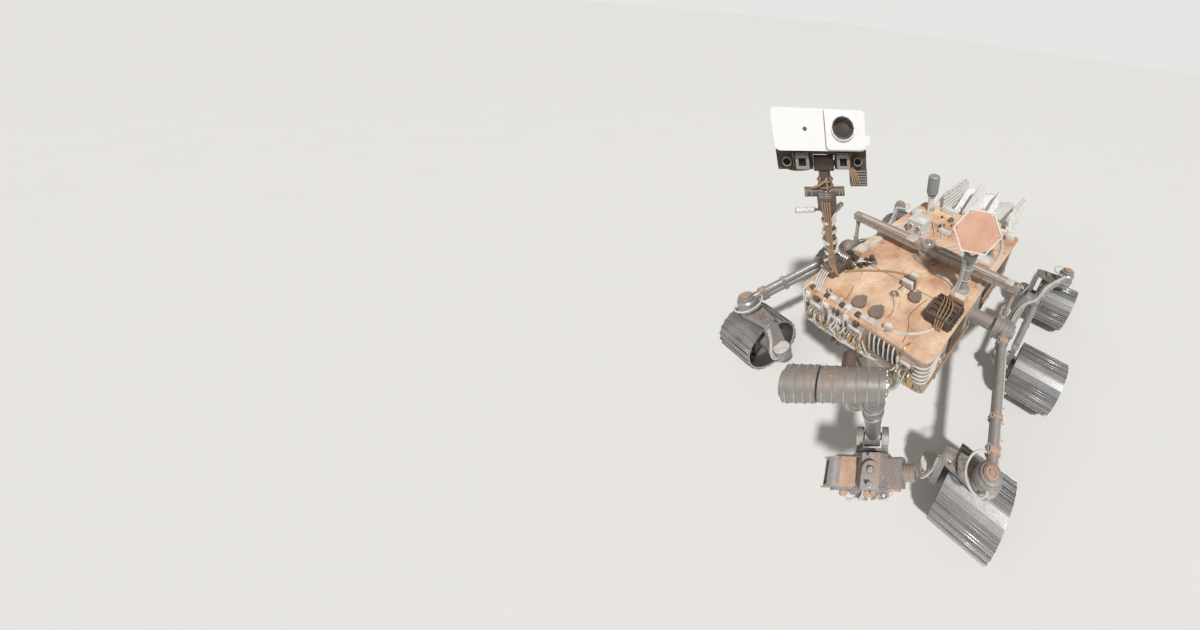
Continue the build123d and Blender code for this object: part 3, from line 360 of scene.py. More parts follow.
def strand(points, radius, order=4):
    """Round cable through soft bends, led by the points."""
    data = bpy.data.curves.new("strand", "CURVE")
    data.dimensions = "3D"
    data.bevel_depth = radius
    data.bevel_resolution = 2
    data.resolution_u = 5
    data.use_fill_caps = True
    line = data.splines.new("NURBS")
    line.points.add(len(points) - 1)
    for point, place in zip(line.points, points):
        point.co = (*place, 1)
    line.order_u = min(order, len(points))
    line.use_endpoint_u = True
    cable = bpy.data.objects.new("strand", data)
    bpy.context.scene.collection.objects.link(cable)
    bpy.ops.object.select_all(action="DESELECT")
    cable.select_set(True)
    bpy.context.view_layer.objects.active = cable
    bpy.ops.object.convert(target="MESH")
    return bpy.context.object


def around(centre, radius, angle):
    """The place at that angle, in radians, on a flat circle."""
    return Vector(centre) + Vector((radius * math.cos(angle), radius * math.sin(angle), 0))


def fanned(route, n):
    """The n-th of several cables side by side: each point of the route comes with its step per cable."""
    return [Vector(point) + Vector(step) * n for point, step in route]


def copy_to(piece, matrix):
    """A copy with its own mesh, moved by the matrix."""
    twin = piece.copy()
    twin.data = piece.data.copy()
    twin.data.transform(matrix)
    if matrix.determinant() < 0:
        twin.data.flip_normals()
    bpy.context.scene.collection.objects.link(twin)
    return twin


def joined(parts):
    """The parts as one object."""
    bpy.ops.object.select_all(action="DESELECT")
    for part in parts:
        part.select_set(True)
    bpy.context.view_layer.objects.active = parts[0]
    if len(parts) > 1:
        bpy.ops.object.join()
    return bpy.context.object


def settle(parts, name, finish, body="root", place=None):
    """Joins the parts into one named, finished piece that rides on its body."""
    piece = joined(list(parts))
    piece.name = name
    piece.data.name = name
    piece.data.transform(AT_AXLE @ (place or Matrix()))
    bpy.ops.object.shade_smooth_by_angle(angle=SMOOTH_BELOW)
    piece.data.materials.clear()
    piece.data.materials.append(finish.material)
    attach(piece, body)


def repeated(master, places):
    """One object that holds a copy of the master's mesh at each place."""
    whole = bmesh.new()
    for place in places:
        shape = master.copy()
        shape.transform(place)
        whole.from_mesh(shape)
        bpy.data.meshes.remove(shape)
    data = bpy.data.meshes.new("repeated")
    whole.to_mesh(data)
    whole.free()
    piece = bpy.data.objects.new("repeated", data)
    bpy.context.scene.collection.objects.link(piece)
    return piece


def mesh_of(piece):
    """The piece's mesh, kept as a master while its object goes."""
    data = piece.data
    bpy.data.objects.remove(piece)
    return data


BOLT_MESHES = {}


def bolt_mesh(size):
    """Hexagon bolt head with a dished top, modelled once for each size."""
    if size not in BOLT_MESHES:
        dish = ((size * 0.35, -size * 0.25),)
        BOLT_MESHES[size] = mesh_of(
            drum((0, 0, -size * 0.2), (0, 0, size * 0.7), size, dish, 6, size * 0.15)
        )
    return BOLT_MESHES[size]


def bolts(centre, axis, ring, count, size, start=0.0):
    """Bolt heads in a ring, or one at the centre."""
    turn = Vector(axis).to_track_quat("Z", "Y")
    places = []
    for n in range(count):
        angle = math.radians(start + 360 / count * n)
        spot = Vector(centre) + turn @ Vector((math.cos(angle) * ring, math.sin(angle) * ring, 0))
        places.append(Matrix.LocRotScale(spot, turn, Vector((1, 1, 1))))
    return [repeated(bolt_mesh(size), places)]


def bolt(spot, axis, size):
    """One bolt head, in a list."""
    return bolts(spot, axis, 0, 1, size)


def corner_bolts(centre, reach, size):
    """Bolt heads that face up at the corners of a plate, reach being half their spacing."""
    made = []
    for sx in BOTH:
        for sy in BOTH:
            made += bolt(Vector(centre) + Vector((sx * reach[0], sy * reach[1], 0)), UP, size)
    return made


AXLE_Z = 0.248514
LUG_COUNT = 24
TREAD_FLAT = 0.2399
TREAD_HALF = 0.2
FINE_RIBS = (-0.0105, 0.0105)
WHEELS = (
    # name, x, y, side
    ("front_left", 1.15, 1.1, 1),
    ("front_right", 1.15, -1.1, -1),
    ("middle_left", 0.0, 1.2, 1),
    ("middle_right", 0.0, -1.2, -1),
    ("rear_left", -1.1, 1.1, 1),
    ("rear_right", -1.1, -1.1, -1),
)
rib = mesh_of(
    block(
        (-0.0026, -TREAD_HALF + 0.004, TREAD_FLAT - 0.001),
        (0.0026, TREAD_HALF - 0.004, TREAD_FLAT + 0.0045), 0.001, 1,
    )
)
turns = [Matrix.Rotation(math.radians(360 / LUG_COUNT * n), 4, "Y") for n in range(LUG_COUNT)]
ribs = [
    repeated(rib, [turn @ Matrix.Translation((across, 0, 0)) for turn in turns for across in FINE_RIBS])
]
for edge in BOTH:
    ribs.append(hoop((0, edge * (TREAD_HALF - 0.005), 0), PORT, TREAD_FLAT - 0.0095, 0.0055, 48))
tread = joined(ribs)
cap = [plug(ORIGIN, PORT, 0.042, 0.052, 0.034, ((0.006, 0.004), (0.008, -0.003)))]
cap += bolts((0, 0.045, 0), PORT, 0.05, 8, 0.0055)
cap += bolts((0, 0.05, 0), PORT, 0.024, 6, 0.003)
cap = joined(cap)
for name, x, y, side in WHEELS:
    spot = Matrix.Translation((x, y, AXLE_Z)) @ Matrix.Scale(side, 4, PORT)
    settle([copy_to(tread, spot)], f"tread_ribs_{name}", lug_metal, f"wheel_{name}")
    settle([copy_to(cap, spot)], f"hub_cap_{name}", bolt_metal, f"wheel_{name}")
bpy.data.objects.remove(tread)
bpy.data.objects.remove(cap)

# Wheel legs: titanium forgings, painted grey, with the drive motor and its brake bolted on inboard.
# White tape wraps the motor's leads, which are tied down the leg, and gravel has settled on the arms.
LEG_IN = 0.262
ARM_TOP = 0.605
BRAKE_IN = 0.332
BRAKE_TOP = AXLE_Z + 0.078
leg_paint = dusty(
    "suspension_paint", (0.36, 0.355, 0.35), rough=(0.36, 0.8), metallic=0.35, worn=(0.6, 0.59, 0.57)
)
white_tape = dusty("white_cable_tape", (0.74, 0.71, 0.66), cover=-0.1, rough=(0.55, 0.85), cloud_scale=14.0)
tan_cable = dusty("tan_cable", (0.42, 0.28, 0.17), cover=-0.1, rough=(0.5, 0.8), cloud_scale=14.0)
gravel = dusty("settled_gravel", (0.2, 0.155, 0.13), cover=-0.2, rough=(0.8, 0.95), cloud_scale=18.0)
dress(leg_paint, "strut_", "rocker_", "bogie_")
dice = random.Random(41)


def ties(points, radius, count):
    """Straps round a cable, evenly along its straight run from the first point to the last."""
    first = Vector(points[0])
    run = Vector(points[-1]) - first
    return [hoop(first + run * ((n + 0.5) / count), run, radius, radius * 0.28, 16) for n in range(count)]


bpy.ops.object.select_all(action="DESELECT")
bpy.ops.mesh.primitive_ico_sphere_add(subdivisions=1, radius=1)
take()
bpy.ops.object.mode_set(mode="EDIT")
bpy.ops.mesh.select_all(action="SELECT")
bpy.ops.transform.vertex_random(offset=0.22, seed=5)
bpy.ops.object.mode_set(mode="OBJECT")
STONE = mesh_of(bpy.context.object)


def pebbles(x, y, z, reach, count, size):
    """Small stones scattered round a place, with none close to its middle."""
    places = []
    for n in range(count):
        far = reach * (0.42 + 0.58 * dice.random())
        angle = dice.uniform(0, math.tau)
        grow = size * dice.uniform(0.5, 1.3)
        spot = Vector((x + far * math.cos(angle), y + far * math.sin(angle), z + grow * 0.35))
        turn = Matrix.Rotation(dice.uniform(0, math.tau), 3, "Z").to_quaternion()
        places.append(
            Matrix.LocRotScale(spot, turn, Vector((grow, grow * dice.uniform(0.7, 1.0), grow * 0.6)))
        )
    return [repeated(STONE, places)]


def mirrored(parts, side):
    """The parts as made for port, or their mirror images for starboard."""
    if side > 0:
        return parts
    flipped = [copy_to(part, Matrix.Scale(-1, 4, PORT)) for part in parts]
    for part in parts:
        bpy.data.objects.remove(part)
    return flipped


for name, x, y, side in WHEELS:
    middle = name.startswith("middle")
    body = "root" if middle else f"steer_{name}"
    track = abs(y)
    leg = track - LEG_IN + (0.006 if middle else 0.0)
    brake_y = track - BRAKE_IN
    brake = [
        plug((x, brake_y, BRAKE_TOP), UP, -0.001, 0.004, 0.066, ((0.014, -0.003), (0.012, 0.006))),
        hoop((x, brake_y, BRAKE_TOP + 0.001), UP, 0.06, 0.005, 40),
    ]
    brake += bolts((x, brake_y, BRAKE_TOP + 0.003), UP, 0.059, 8, 0.0045)
    settle(mirrored(brake, side), f"brake_ring_{name}", white_tape, body)
    drive = bolts((x, leg - 0.022, AXLE_Z), -PORT, 0.073, 10, 0.0045, 18)
    drive.append(hoop((x, leg - 0.036, AXLE_Z), PORT, 0.0655, 0.004, 40))
    drive += [hoop((x, track - 0.37 + n * 0.012, AXLE_Z), PORT, 0.0462, 0.0022, 36) for n in range(3)]
    drive += [plug((x, leg - 0.085, AXLE_Z), AHEAD, 0.044, 0.066, 0.013, ((0.003, 0.006),), 16)]
    settle(mirrored(drive, side), f"drive_fittings_{name}", bolt_metal, body)
    top = 0.45 if middle else ARM_TOP - 0.03
    route = [
        (x + 0.072, leg - 0.085, AXLE_Z),
        (x + 0.11, leg - 0.085, AXLE_Z + 0.01),
        (x + 0.1, leg - 0.05, AXLE_Z + 0.09),
        (x + 0.052, leg - 0.026, AXLE_Z + 0.15),
        (x + 0.045, leg - 0.026, top - 0.08),
        (x + 0.042, leg - 0.028, top),
    ]
    lead = [strand(route, 0.0065), strand([(a - 0.014, b - 0.002, c + 0.006) for a, b, c in route], 0.0045)]
    lead += ties([(x + 0.045, leg - 0.027, AXLE_Z + 0.17), (x + 0.043, leg - 0.027, top)], 0.0105, 4)
    settle(mirrored(lead, side), f"motor_leads_{name}", white_tape, body)
    if not middle:
        plate = [
            block((x - 0.03, leg - 0.02, ARM_TOP - 0.001), (x + 0.03, leg + 0.05, ARM_TOP + 0.005), 0.003)
        ]
        plate += corner_bolts((x, leg + 0.015, ARM_TOP + 0.004), (0.021, 0.025), 0.005)
        settle(mirrored(plate, side), f"arm_plate_{name}", bolt_metal, body)
        stones = []
        for share, reach in ((0.42, 0.055), (0.6, 0.05), (0.8, 0.045)):
            stones += pebbles(x, track + (leg - track) * share, ARM_TOP, reach, 34, 0.0055)
        settle(mirrored(stones, side), f"gravel_{name}", gravel, body)

# Rocker and bogie: titanium tubes welded to machined joints. Peach-brown clamps hold the front twin
# tubes and bolted caps close the steering actuators, with a taped lead looped into each.
CAN_TOP = 0.761
PIVOT = Vector((0.22, 0.81, 0.85))
KNUCKLE = Vector((-0.56, 0.972, 0.6))
TUBE_START = Vector((0.26, 0.81, 0.85))
TUBE_END = Vector((1.088, 1.094, 0.6825))
peach_metal = dusty("dusty_cap", (0.66, 0.45, 0.33), cover=0.15, rough=(0.45, 0.8), cloud_scale=16.0)
bright_metal = dusty("scuffed_titanium", (0.55, 0.54, 0.53), cover=-0.2, metallic=0.7, rough=(0.3, 0.75))
CANS = (
    ("front_left", 1.15, 1), ("front_right", 1.15, -1), ("rear_left", -1.1, 1),
    ("rear_right", -1.1, -1),
)
for name, x, side in CANS:
    y = 1.1
    cap = [plug((x, y, CAN_TOP), UP, -0.001, 0.007, 0.036, ((0.01, -0.004), (0.01, 0.007)))]
    cap += bolts((x, y, CAN_TOP - 0.016), UP, 0.052, 8, 0.0052)
    cap += bolts((x, y, CAN_TOP + 0.004), UP, 0.031, 6, 0.0034)
    settle(mirrored(cap, side), f"steering_cap_{name}", peach_metal)
    rings = hoops((x, y, 0), UP, (0.645, 0.665, 0.7), 0.0742, 0.0028, 48)
    rings += bolts((x, y, 0.625), UP, 0.0805, 12, 0.0036)
    settle(mirrored(rings, side), f"steering_bands_{name}", bright_metal)
    toward = -1 if x > 0 else 1
    loop = [
        (x + toward * 0.1, y - 0.035, 0.722),
        (x + toward * 0.1, y - 0.1, 0.735),
        (x + toward * 0.02, y - 0.145, 0.72),
        (x - toward * 0.08, y - 0.125, 0.705),
        (x - toward * 0.135, y - 0.045, 0.695),
        (x - toward * 0.12, y + 0.02, 0.688),
        (x - toward * 0.072, y + 0.02, 0.686),
    ]
    lead = [strand(loop, 0.0075)]
    lead += [
        plug((x, y + 0.02, 0.686), AHEAD, -toward * 0.07, -toward * 0.092, 0.0115, ((0.002, 0.004),), 16)
    ]
    settle(mirrored(lead, side), f"steering_lead_{name}", white_tape)

for where, side in (("left", 1), ("right", -1)):
    run = TUBE_END - TUBE_START
    cover = [plug(PIVOT, PORT, 0.063, 0.072, 0.07, ((0.014, -0.004), (0.012, 0.004)))]
    cover += bolts(PIVOT + PORT * 0.0665, PORT, 0.066, 12, 0.0048)
    cover += bolts(PIVOT + PORT * -0.075, -PORT, 0.096, 12, 0.005)
    cover += hoops(PIVOT, PORT, (-0.03, 0.0, 0.03), 0.0925, 0.0035, 56)
    settle(mirrored(cover, side), f"rocker_pivot_cover_{where}", bright_metal)
    clamps = []
    across = run.normalized().cross(UP).normalized()
    over = across.cross(run.normalized()).normalized()
    for share, length in ((0.1, 0.06), (0.7, 0.034), (0.91, 0.06)):
        squeeze = 1 - 0.38 * share
        spot = TUBE_START + run * share
        high = 0.038 * squeeze + 0.024
        for dx in (-0.3, 0.3):
            for up in (-0.5, 0.5):
                foot = spot + run.normalized() * (dx * length) + over * (up * high * 1.3) - across * 0.037
                clamps += bolt(foot, -across, 0.0052)
                clamps += bolt(foot + across * 0.074, across, 0.0052)
        clamps.append(block((-length * 0.3, -0.03, -0.004), (length * 0.3, 0.03, 0.006), 0.003))
        frame_turn = Matrix((run.normalized(), across, over)).transposed().to_4x4()
        clamps[-1].data.transform(Matrix.Translation(spot + over * (high + 0.005)) @ frame_turn)
    settle(mirrored(clamps, side), f"tube_clamps_{where}", peach_metal)
    out = -across if across.y < 0 else across
    base = [TUBE_START + run * share for share in (0.0, 0.12, 0.3, 0.5, 0.7, 0.88, 0.99)]
    lead = []
    for n in range(3):
        drift = [dice.uniform(-0.004, 0.004) for _ in base]
        line = [p + out * (0.036 + 0.004 * n + d) - over * (0.001 + n * 0.009) for p, d in zip(base, drift)]
        lead.append(strand(line, 0.0048))
    lead += ties([base[1] + out * 0.042 - over * 0.01, base[-2] + out * 0.042 - over * 0.01], 0.016, 7)
    settle(mirrored(lead, side), f"rocker_harness_{where}", white_tape)
    aft = [
        PIVOT + Vector((-0.08, 0.02, 0.052)), PIVOT + Vector((-0.25, 0.012, -0.018)),
        PIVOT + Vector((-0.5, 0.022, -0.098)),
    ]
    aft += [
        KNUCKLE + Vector((0.06, -0.04, 0.082)), KNUCKLE + Vector((-0.02, -0.03, 0.092)),
        KNUCKLE + Vector((-0.12, -0.02, 0.082)),
    ]
    aft += [Vector((-0.745, 0.972, 0.722)), Vector((-0.9, 1.035, 0.722)), Vector((-1.02, 1.09, 0.722))]
    back = [strand(aft, 0.006), strand([p + Vector((0, 0.014, -0.003)) for p in aft], 0.0045)]
    settle(mirrored(back, side), f"bogie_harness_{where}", white_tape)
    joint = [plug(KNUCKLE, PORT, 0.012, 0.02, 0.052, ((0.012, -0.004), (0.01, 0.005)))]
    joint += bolts(KNUCKLE + PORT * 0.004, PORT, 0.063, 10, 0.0048)
    joint += bolts((0, 0.966, 0.482), PORT, 0.034, 6, 0.0045)
    joint.append(hoop((-0.27, 0.943, 0.54), (0.56, 0.002, -0.118), 0.0345, 0.004, 32))
    joint.append(hoop((-0.9, 1.04, 0.6785), (-0.286, 0.128, 0), 0.0345, 0.004, 32))
    settle(mirrored(joint, side), f"bogie_joint_{where}", bright_metal)

# Equipment box: aluminium panels painted white, screwed along their edges. White and gold leads,
# connectors and thermal blanket cover its front, and a round plate and trays hang under its belly.
BODY_FRONT = 1.000
BODY_AFT = -0.75
BODY_HALF = 0.53
BELLY = 0.66
DECK_TOP = 1.1
# The box's colour is much darker than its white coat: partly dust and partly painted shade of its sides
# under the deck edge.
box_paint_dust_and_shade = dusty("box_paint_dust_and_shade", (0.5, 0.43, 0.365), cover=0.05, rough=(0.45, 0.8))
white_box = dusty("white_box_paint", (0.84, 0.82, 0.78), cover=-0.15, rough=(0.42, 0.75), cloud_scale=9.0)
dark_box = dusty("dark_anodise", (0.075, 0.062, 0.055), rough=(0.4, 0.75), cloud_scale=9.0)
gold_sheet = dusty(
    "gold_blanket", (0.72, 0.5, 0.22), cover=-0.15, metallic=0.85, rough=(0.28, 0.7), cloud_scale=24.0
)
dress(box_paint_dust_and_shade, "body_box", "arm_bracket")


def screw_row(start, end, axis, count, size=0.0032):
    """Screws along a line."""
    start = Vector(start)
    step = (Vector(end) - start) / max(1, count - 1)
    turn = Vector(axis).to_track_quat("Z", "Y")
    places = [Matrix.LocRotScale(start + step * n, turn, Vector((1, 1, 1))) for n in range(count)]
    return [repeated(bolt_mesh(size), places)]


screws = []
for side in (1, -1):
    face = side * (BODY_HALF + 0.0002)
    screws += screw_row((-0.67, face, 1.062), (0.92, face, 1.062), (0, side, 0), 34)
    screws += screw_row((-0.58, face, 0.682), (0.86, face, 0.682), (0, side, 0), 28)
    for x0, x1, z0, z1 in ((-0.6, 0.06, 0.8, 1.04), (0.39, 0.9, 0.76, 1.04)):
        sunk = side * (BODY_HALF - 0.006)
        count = round((x1 - x0) / 0.06)
        for z in (z0 + 0.012, z1 - 0.012):
            screws += screw_row((x0 + 0.014, sunk, z), (x1 - 0.014, sunk, z), (0, side, 0), count)
        for n in range(5):
            z = z0 + (z1 - z0) * (n + 0.75) / 5.5
            screws.append(
                block((x0 + 0.04, sunk, z - 0.004), (x1 - 0.04, sunk + side * 0.004, z + 0.004), 0.0018)
            )
screws += screw_row((BODY_FRONT, -0.46, 0.745), (BODY_FRONT, 0.46, 0.745), AHEAD, 20)
for z in (1.055, 0.805):
    screws += screw_row((BODY_AFT, -0.46, z), (BODY_AFT, 0.46, z), -AHEAD, 18)
settle(screws, "box_screws_and_ribs", box_paint_dust_and_shade)

SIDE_ROUTE = (
    # x, distance out of the wall, rise
    (0.9, 0.004, 0.03),
    (0.8, 0.01, 0.0),
    (0.4, 0.008, -0.004),
    (0.0, 0.01, 0.004),
    (-0.4, 0.008, 0.0),
    (-0.66, 0.004, 0.02),
)
# The slat panels on both sides take the dark finish; their slats are modelled, and their near-black colour
# is painted shade of the sides under the deck edge.
slats = []
rings = []
tan = []
pipes = []
for side in (1, -1):
    sunk = side * (BODY_HALF - 0.008)
    proud = side * (BODY_HALF + 0.006)
    for x0, x1, z0, z1 in ((0.42, 0.66, 0.8, 1.02), (-0.58, -0.3, 0.815, 0.99), (-0.2, 0.0, 0.86, 1.02)):
        slats.append(block((x0, sunk, z0), (x1, proud, z1), 0.004))
    for n in range(8):
        z = 0.815 + n * 0.025
        slats.append(block((0.432, proud, z), (0.648, proud + side * 0.006, z + 0.01), 0.002))
    tan.append(block((0.69, sunk, 0.79), (0.88, proud, 0.99), 0.005))
    for z in (0.8, 0.98):
        tan += screw_row((0.7, proud, z), (0.87, proud, z), (0, side, 0), 6)
    rings.append(
        plug(
            (0.785, proud, 0.885), PORT, -side * 0.002, side * 0.008, 0.058,
            ((0.008, 0.004), (0.012, -0.006), (0.02, 0.003)), 40,
        )
    )
    rings += bolts((0.785, proud + side * 0.008, 0.885), (0, side, 0), 0.046, 10, 0.0036)
    for n in range(3):
        z = 0.715 + n * 0.016
        line = [(x, side * (BODY_HALF + out), z + rise) for x, out, rise in SIDE_ROUTE]
        pipes.append(strand(line, 0.0075 - 0.001 * n))
    for n in range(9):
        x = 0.82 - n * 0.17
        pipes.append(
            block(
                (x - 0.006, side * BODY_HALF, 0.704), (x + 0.006, side * (BODY_HALF + 0.02), 0.758), 0.003
            )
        )
settle(slats, "side_slat_panels", dark_box)
settle(tan, "side_tan_panels", peach_metal)
settle(rings, "side_port_rings", bolt_metal)
settle(pipes, "side_harness", tan_cable)

belly = [
    plug((0.62, 0.26, BELLY), UP, 0.002, -0.012, 0.13, ((0.018, 0.006), (0.022, -0.012), (0.03, 0.008)))
]
belly += bolts((0.62, 0.26, BELLY - 0.01), -UP, 0.121, 16, 0.005)
belly.append(plug((-0.25, 0, BELLY), UP, 0.002, -0.01, 0.17, ((0.02, -0.004), (0.05, 0.008))))
belly += bolts((-0.25, 0, BELLY - 0.009), -UP, 0.16, 18, 0.005)
for x0, x1, y0, y1 in (
    (0.1, 0.44, 0.14, 0.42), (0.05, 0.4, -0.44, -0.1), (-0.58, -0.47, -0.36, 0.36),
    (0.5, 0.86, -0.42, -0.06),
):
    belly.append(block((x0, y0, BELLY - 0.012), (x1, y1, BELLY + 0.002), 0.005))
    for y in (y0 + 0.012, y1 - 0.012):
        belly += screw_row((x0 + 0.015, y, BELLY - 0.012), (x1 - 0.015, y, BELLY - 0.012), -UP, 7)
settle(belly, "belly_plates", peach_metal)

ON_FRONT = Matrix.Translation(AHEAD * BODY_FRONT)
connectors = []
lids = []
leads = []
gold = []
for y0, y1, z0, z1, face in (
    (-0.44, -0.3, 0.93, 1.06, 0.026),
    (-0.27, -0.12, 0.86, 1.04, 0.02),
    (-0.08, 0.06, 0.94, 1.062, 0.024),
    (0.34, 0.46, 0.88, 1.04, 0.022),
):
    for corner_y in (y0 + 0.008, y1 - 0.008):
        lids += screw_row((face, corner_y, z0 + 0.01), (face, corner_y, z1 - 0.01), AHEAD, 4, 0.003)
    lids.append(block((face - 0.001, y0 + 0.02, z1 - 0.045), (face + 0.006, y1 - 0.02, z1 - 0.012), 0.002))
    for n in range(4):
        y = y0 + (y1 - y0) * (n + 0.5) / 4
        z = z0 + (z1 - z0) * (0.28 + 0.22 * (n % 2))
        connectors.append(
            plug((face, y, z), AHEAD, -0.001, 0.018, 0.0115, ((0.002, 0.006), (0.002, 0.004)), 20)
        )
        drop = dice.uniform(0.06, 0.16)
        reach = face + 0.03
        sway = dice.uniform(-0.07, 0.07)
        line = [
            (face + 0.022, y, z), (reach + 0.012, y, z - 0.004),
            (reach + 0.014, y + sway * 0.3, z - drop * 0.5),
        ]
        line += [(face + 0.008, y + sway, z - drop), (0.012, y + sway * 1.4, max(0.75, z - drop - 0.09))]
        (leads if n % 3 else gold).append(strand(line, dice.uniform(0.004, 0.0065)))
settle(connectors, "front_connectors", bolt_metal, place=ON_FRONT)
settle(lids, "front_covers", white_box, place=ON_FRONT)
for n in range(9):
    y0 = -0.5 + n * 0.015
    z0 = 0.775 + (n % 5) * 0.011
    line = [(0.012 + 0.004 * (n % 3), y0, z0)]
    for share in (0.2, 0.42, 0.62, 0.82):
        wave = dice.uniform(-0.012, 0.012)
        line.append(
            (0.014 + 0.005 * (n % 3), y0 + share * 0.58, z0 + wave + (0.03 if n % 2 else 0.0) * share)
        )
    line.append((0.01, y0 + 0.56, z0 + 0.02))
    leads.append(strand(line, 0.0048 if n % 3 else 0.0068))
for n in range(10):
    y = -0.49 + n * 0.094 + dice.uniform(-0.015, 0.015)
    if 0.06 < y < 0.34:
        continue
    line = [(0.012, y, 0.8), (0.024, y + 0.01, 0.87), (0.02, y - 0.015, 0.95)]
    line += [(0.024, y + 0.008, 1.02), (0.02, y, 1.085), (-0.02, y, DECK_TOP + 0.012)]
    line.append((-0.06, y + 0.01, DECK_TOP + 0.005))
    (gold if n % 4 == 1 else leads).append(strand(line, dice.uniform(0.0045, 0.0075)))
for n in range(22):
    y = dice.uniform(-0.5, 0.07) if n < 16 else dice.uniform(0.335, 0.48)
    high = dice.uniform(0.93, 1.07)
    low = dice.uniform(0.76, 0.88)
    sway = dice.uniform(-0.06, 0.06)
    out = 0.03 + 0.004 * (n % 4)
    line = [(0.022, y, high), (out, y + sway * 0.2, high - 0.03)]
    line += [(out + 0.006, y + sway * 0.6, (high + low) / 2), (out, y + sway, low + 0.02)]
    line.append((0.01, y + sway * 1.1, low))
    (gold if n % 5 == 2 else leads).append(strand(line, dice.uniform(0.0045, 0.0085)))
settle(leads, "front_harness", white_tape, place=ON_FRONT)
settle(gold, "front_gold_leads", gold_sheet, place=ON_FRONT)

plugs = []
for n in range(18):
    y = -0.49 + n * 0.032 if n < 13 else 0.35 + (n - 13) * 0.026
    z = 0.905 + 0.045 * ((n * 2) % 4)
    tall = 0.016 + 0.006 * (n % 3)
    plugs.append(block((0.001, y - 0.01, z - tall), (0.036, y + 0.01, z), 0.0025))
settle(plugs, "front_dark_plugs", dark_box, place=ON_FRONT)
corner = []
for n in range(5):
    z = 0.86 + n * 0.042
    for side in BOTH:
        line = [(0.01, side * 0.46, z), (0.018, side * 0.5, z + 0.008)]
        line += [(-0.012, side * 0.542, z + 0.006), (-0.08, side * 0.545, z - 0.012)]
        line += [(-0.17, side * 0.538, z + 0.004), (-0.23, side * 0.533, z - 0.02)]
        corner.append(strand(line, 0.0055 + 0.0008 * (n % 3)))
settle(corner, "corner_harness", white_tape, place=ON_FRONT)

panel = [block((-0.002, 0.105, 0.905), (0.01, 0.315, 1.065), 0.003)]
for n in range(5):
    y = 0.115 + n * 0.039
    panel.append(block((0.009, y, 0.915), (0.022, y + 0.026, 1.052 - 0.03 * (n % 2)), 0.003))
settle(panel, "front_slat_panel", dark_box, place=ON_FRONT)
panel_leads = []
for n in range(6):
    y = 0.112 + n * 0.038
    line = [(0.006, y, 1.078), (0.027, y + 0.004, 1.062), (0.029, y + 0.016 - 0.006 * (n % 3), 0.99)]
    line += [(0.027, y + 0.004 * (n % 3), 0.93), (0.004, y + 0.01, 0.898)]
    panel_leads.append(strand(line, 0.0055 + 0.001 * (n % 2)))
settle(panel_leads, "front_panel_leads", white_tape, place=ON_FRONT)

blanket = []
for y0, y1, z0, z1 in (
    (-0.3, -0.12, 0.76, 0.84), (-0.1, 0.08, 0.78, 0.9), (0.35, 0.47, 0.75, 0.86),
    (-0.46, -0.33, 0.83, 0.9),
):
    sheet = block((-0.001, y0, z0), (0.009, y1, z1), 0.003)
    bpy.ops.object.mode_set(mode="EDIT")
    bpy.ops.mesh.select_all(action="SELECT")
    bpy.ops.mesh.subdivide(number_cuts=5)
    pick(lambda middle, normal: normal.x > 0.7)
    bpy.ops.transform.vertex_random(offset=0.0035, seed=round(y0 * 100) + 60)
    bpy.ops.object.mode_set(mode="OBJECT")
    blanket.append(sheet)
settle(blanket, "front_blanket", gold_sheet, place=ON_FRONT)

lenses = []
HAZARD_Z = BELLY + 0.096
for y in (-0.226, -0.166, -0.044, 0.016):
    lenses.append(
        plug((BODY_FRONT, y, HAZARD_Z), AHEAD, 0.041, 0.044, 0.0125, ((0.003, -0.006), (0.002, 0.002)), 24)
    )
for y in (0.414, 0.446, -0.414, -0.446):
    lenses.append(
        plug((BODY_AFT, y, 0.923), AHEAD, -0.039, -0.042, 0.0105, ((0.003, -0.005), (0.002, 0.002)), 24)
    )
glass = Finish("lens_glass", Roughness=0.09, IOR=1.5)
sheen = glass.noise(26.0, 2.0)
glass.feed("Base Color", glass.blend(sheen, (0.006, 0.006, 0.008), (0.022, 0.018, 0.016)))
settle(lenses, "hazard_lenses", glass)

# Deck: one ribbed panel whose white coat shows through tan dust; its pale patches are partly that white and
# partly painted highlight. Seams cross it, screws run round its edge, harness is tied over it, and low
# plates, a striped bracket and a port stand on it.
deck_paint = Finish("deck_paint", Roughness=0.6)
drift = deck_paint.noise(3.2, 6.0, 0.6)
speck = deck_paint.noise(60.0, 4.0, 0.7)
film = (deck_paint.upward() * 0.2 + drift * 2.3 + speck * 0.4 - 1.05).over(0.0, 0.8)
# The pale colour is partly the clean white coat and partly painted highlight, in cloudy patches where the
# dust film is thin.
pale_paint_and_highlight = deck_paint.blend(speck.over(0.3, 0.7), (0.93, 0.77, 0.59), (0.84, 0.62, 0.43))
film_colour = deck_paint.blend(drift.over(0.4, 0.65), (0.69, 0.375, 0.205), (0.48, 0.245, 0.135))
deck_paint.feed("Base Color", deck_paint.blend(film * 0.92, pale_paint_and_highlight, film_colour))
deck_paint.feed("Roughness", film * 0.3 + 0.48)
deck_paint.relief(speck * 0.5 + film * 0.6, 0.0006)
dress(deck_paint, "deck_panel", "deck_boxes")
RIB_X = 0.8
RIB_Y = -0.06
ON_DECK = Matrix.Translation(UP * DECK_TOP)
edge = []
for side in (1, -1):
    edge += screw_row((-0.7, side * 0.53, 0), (0.93, side * 0.53, 0), UP, 30, 0.0036)
for x in (0.984, -0.752):
    edge += screw_row((x, -0.46, 0), (x, 0.46, 0), UP, 18, 0.0036)
settle(edge, "deck_screws", bolt_metal, place=ON_DECK)
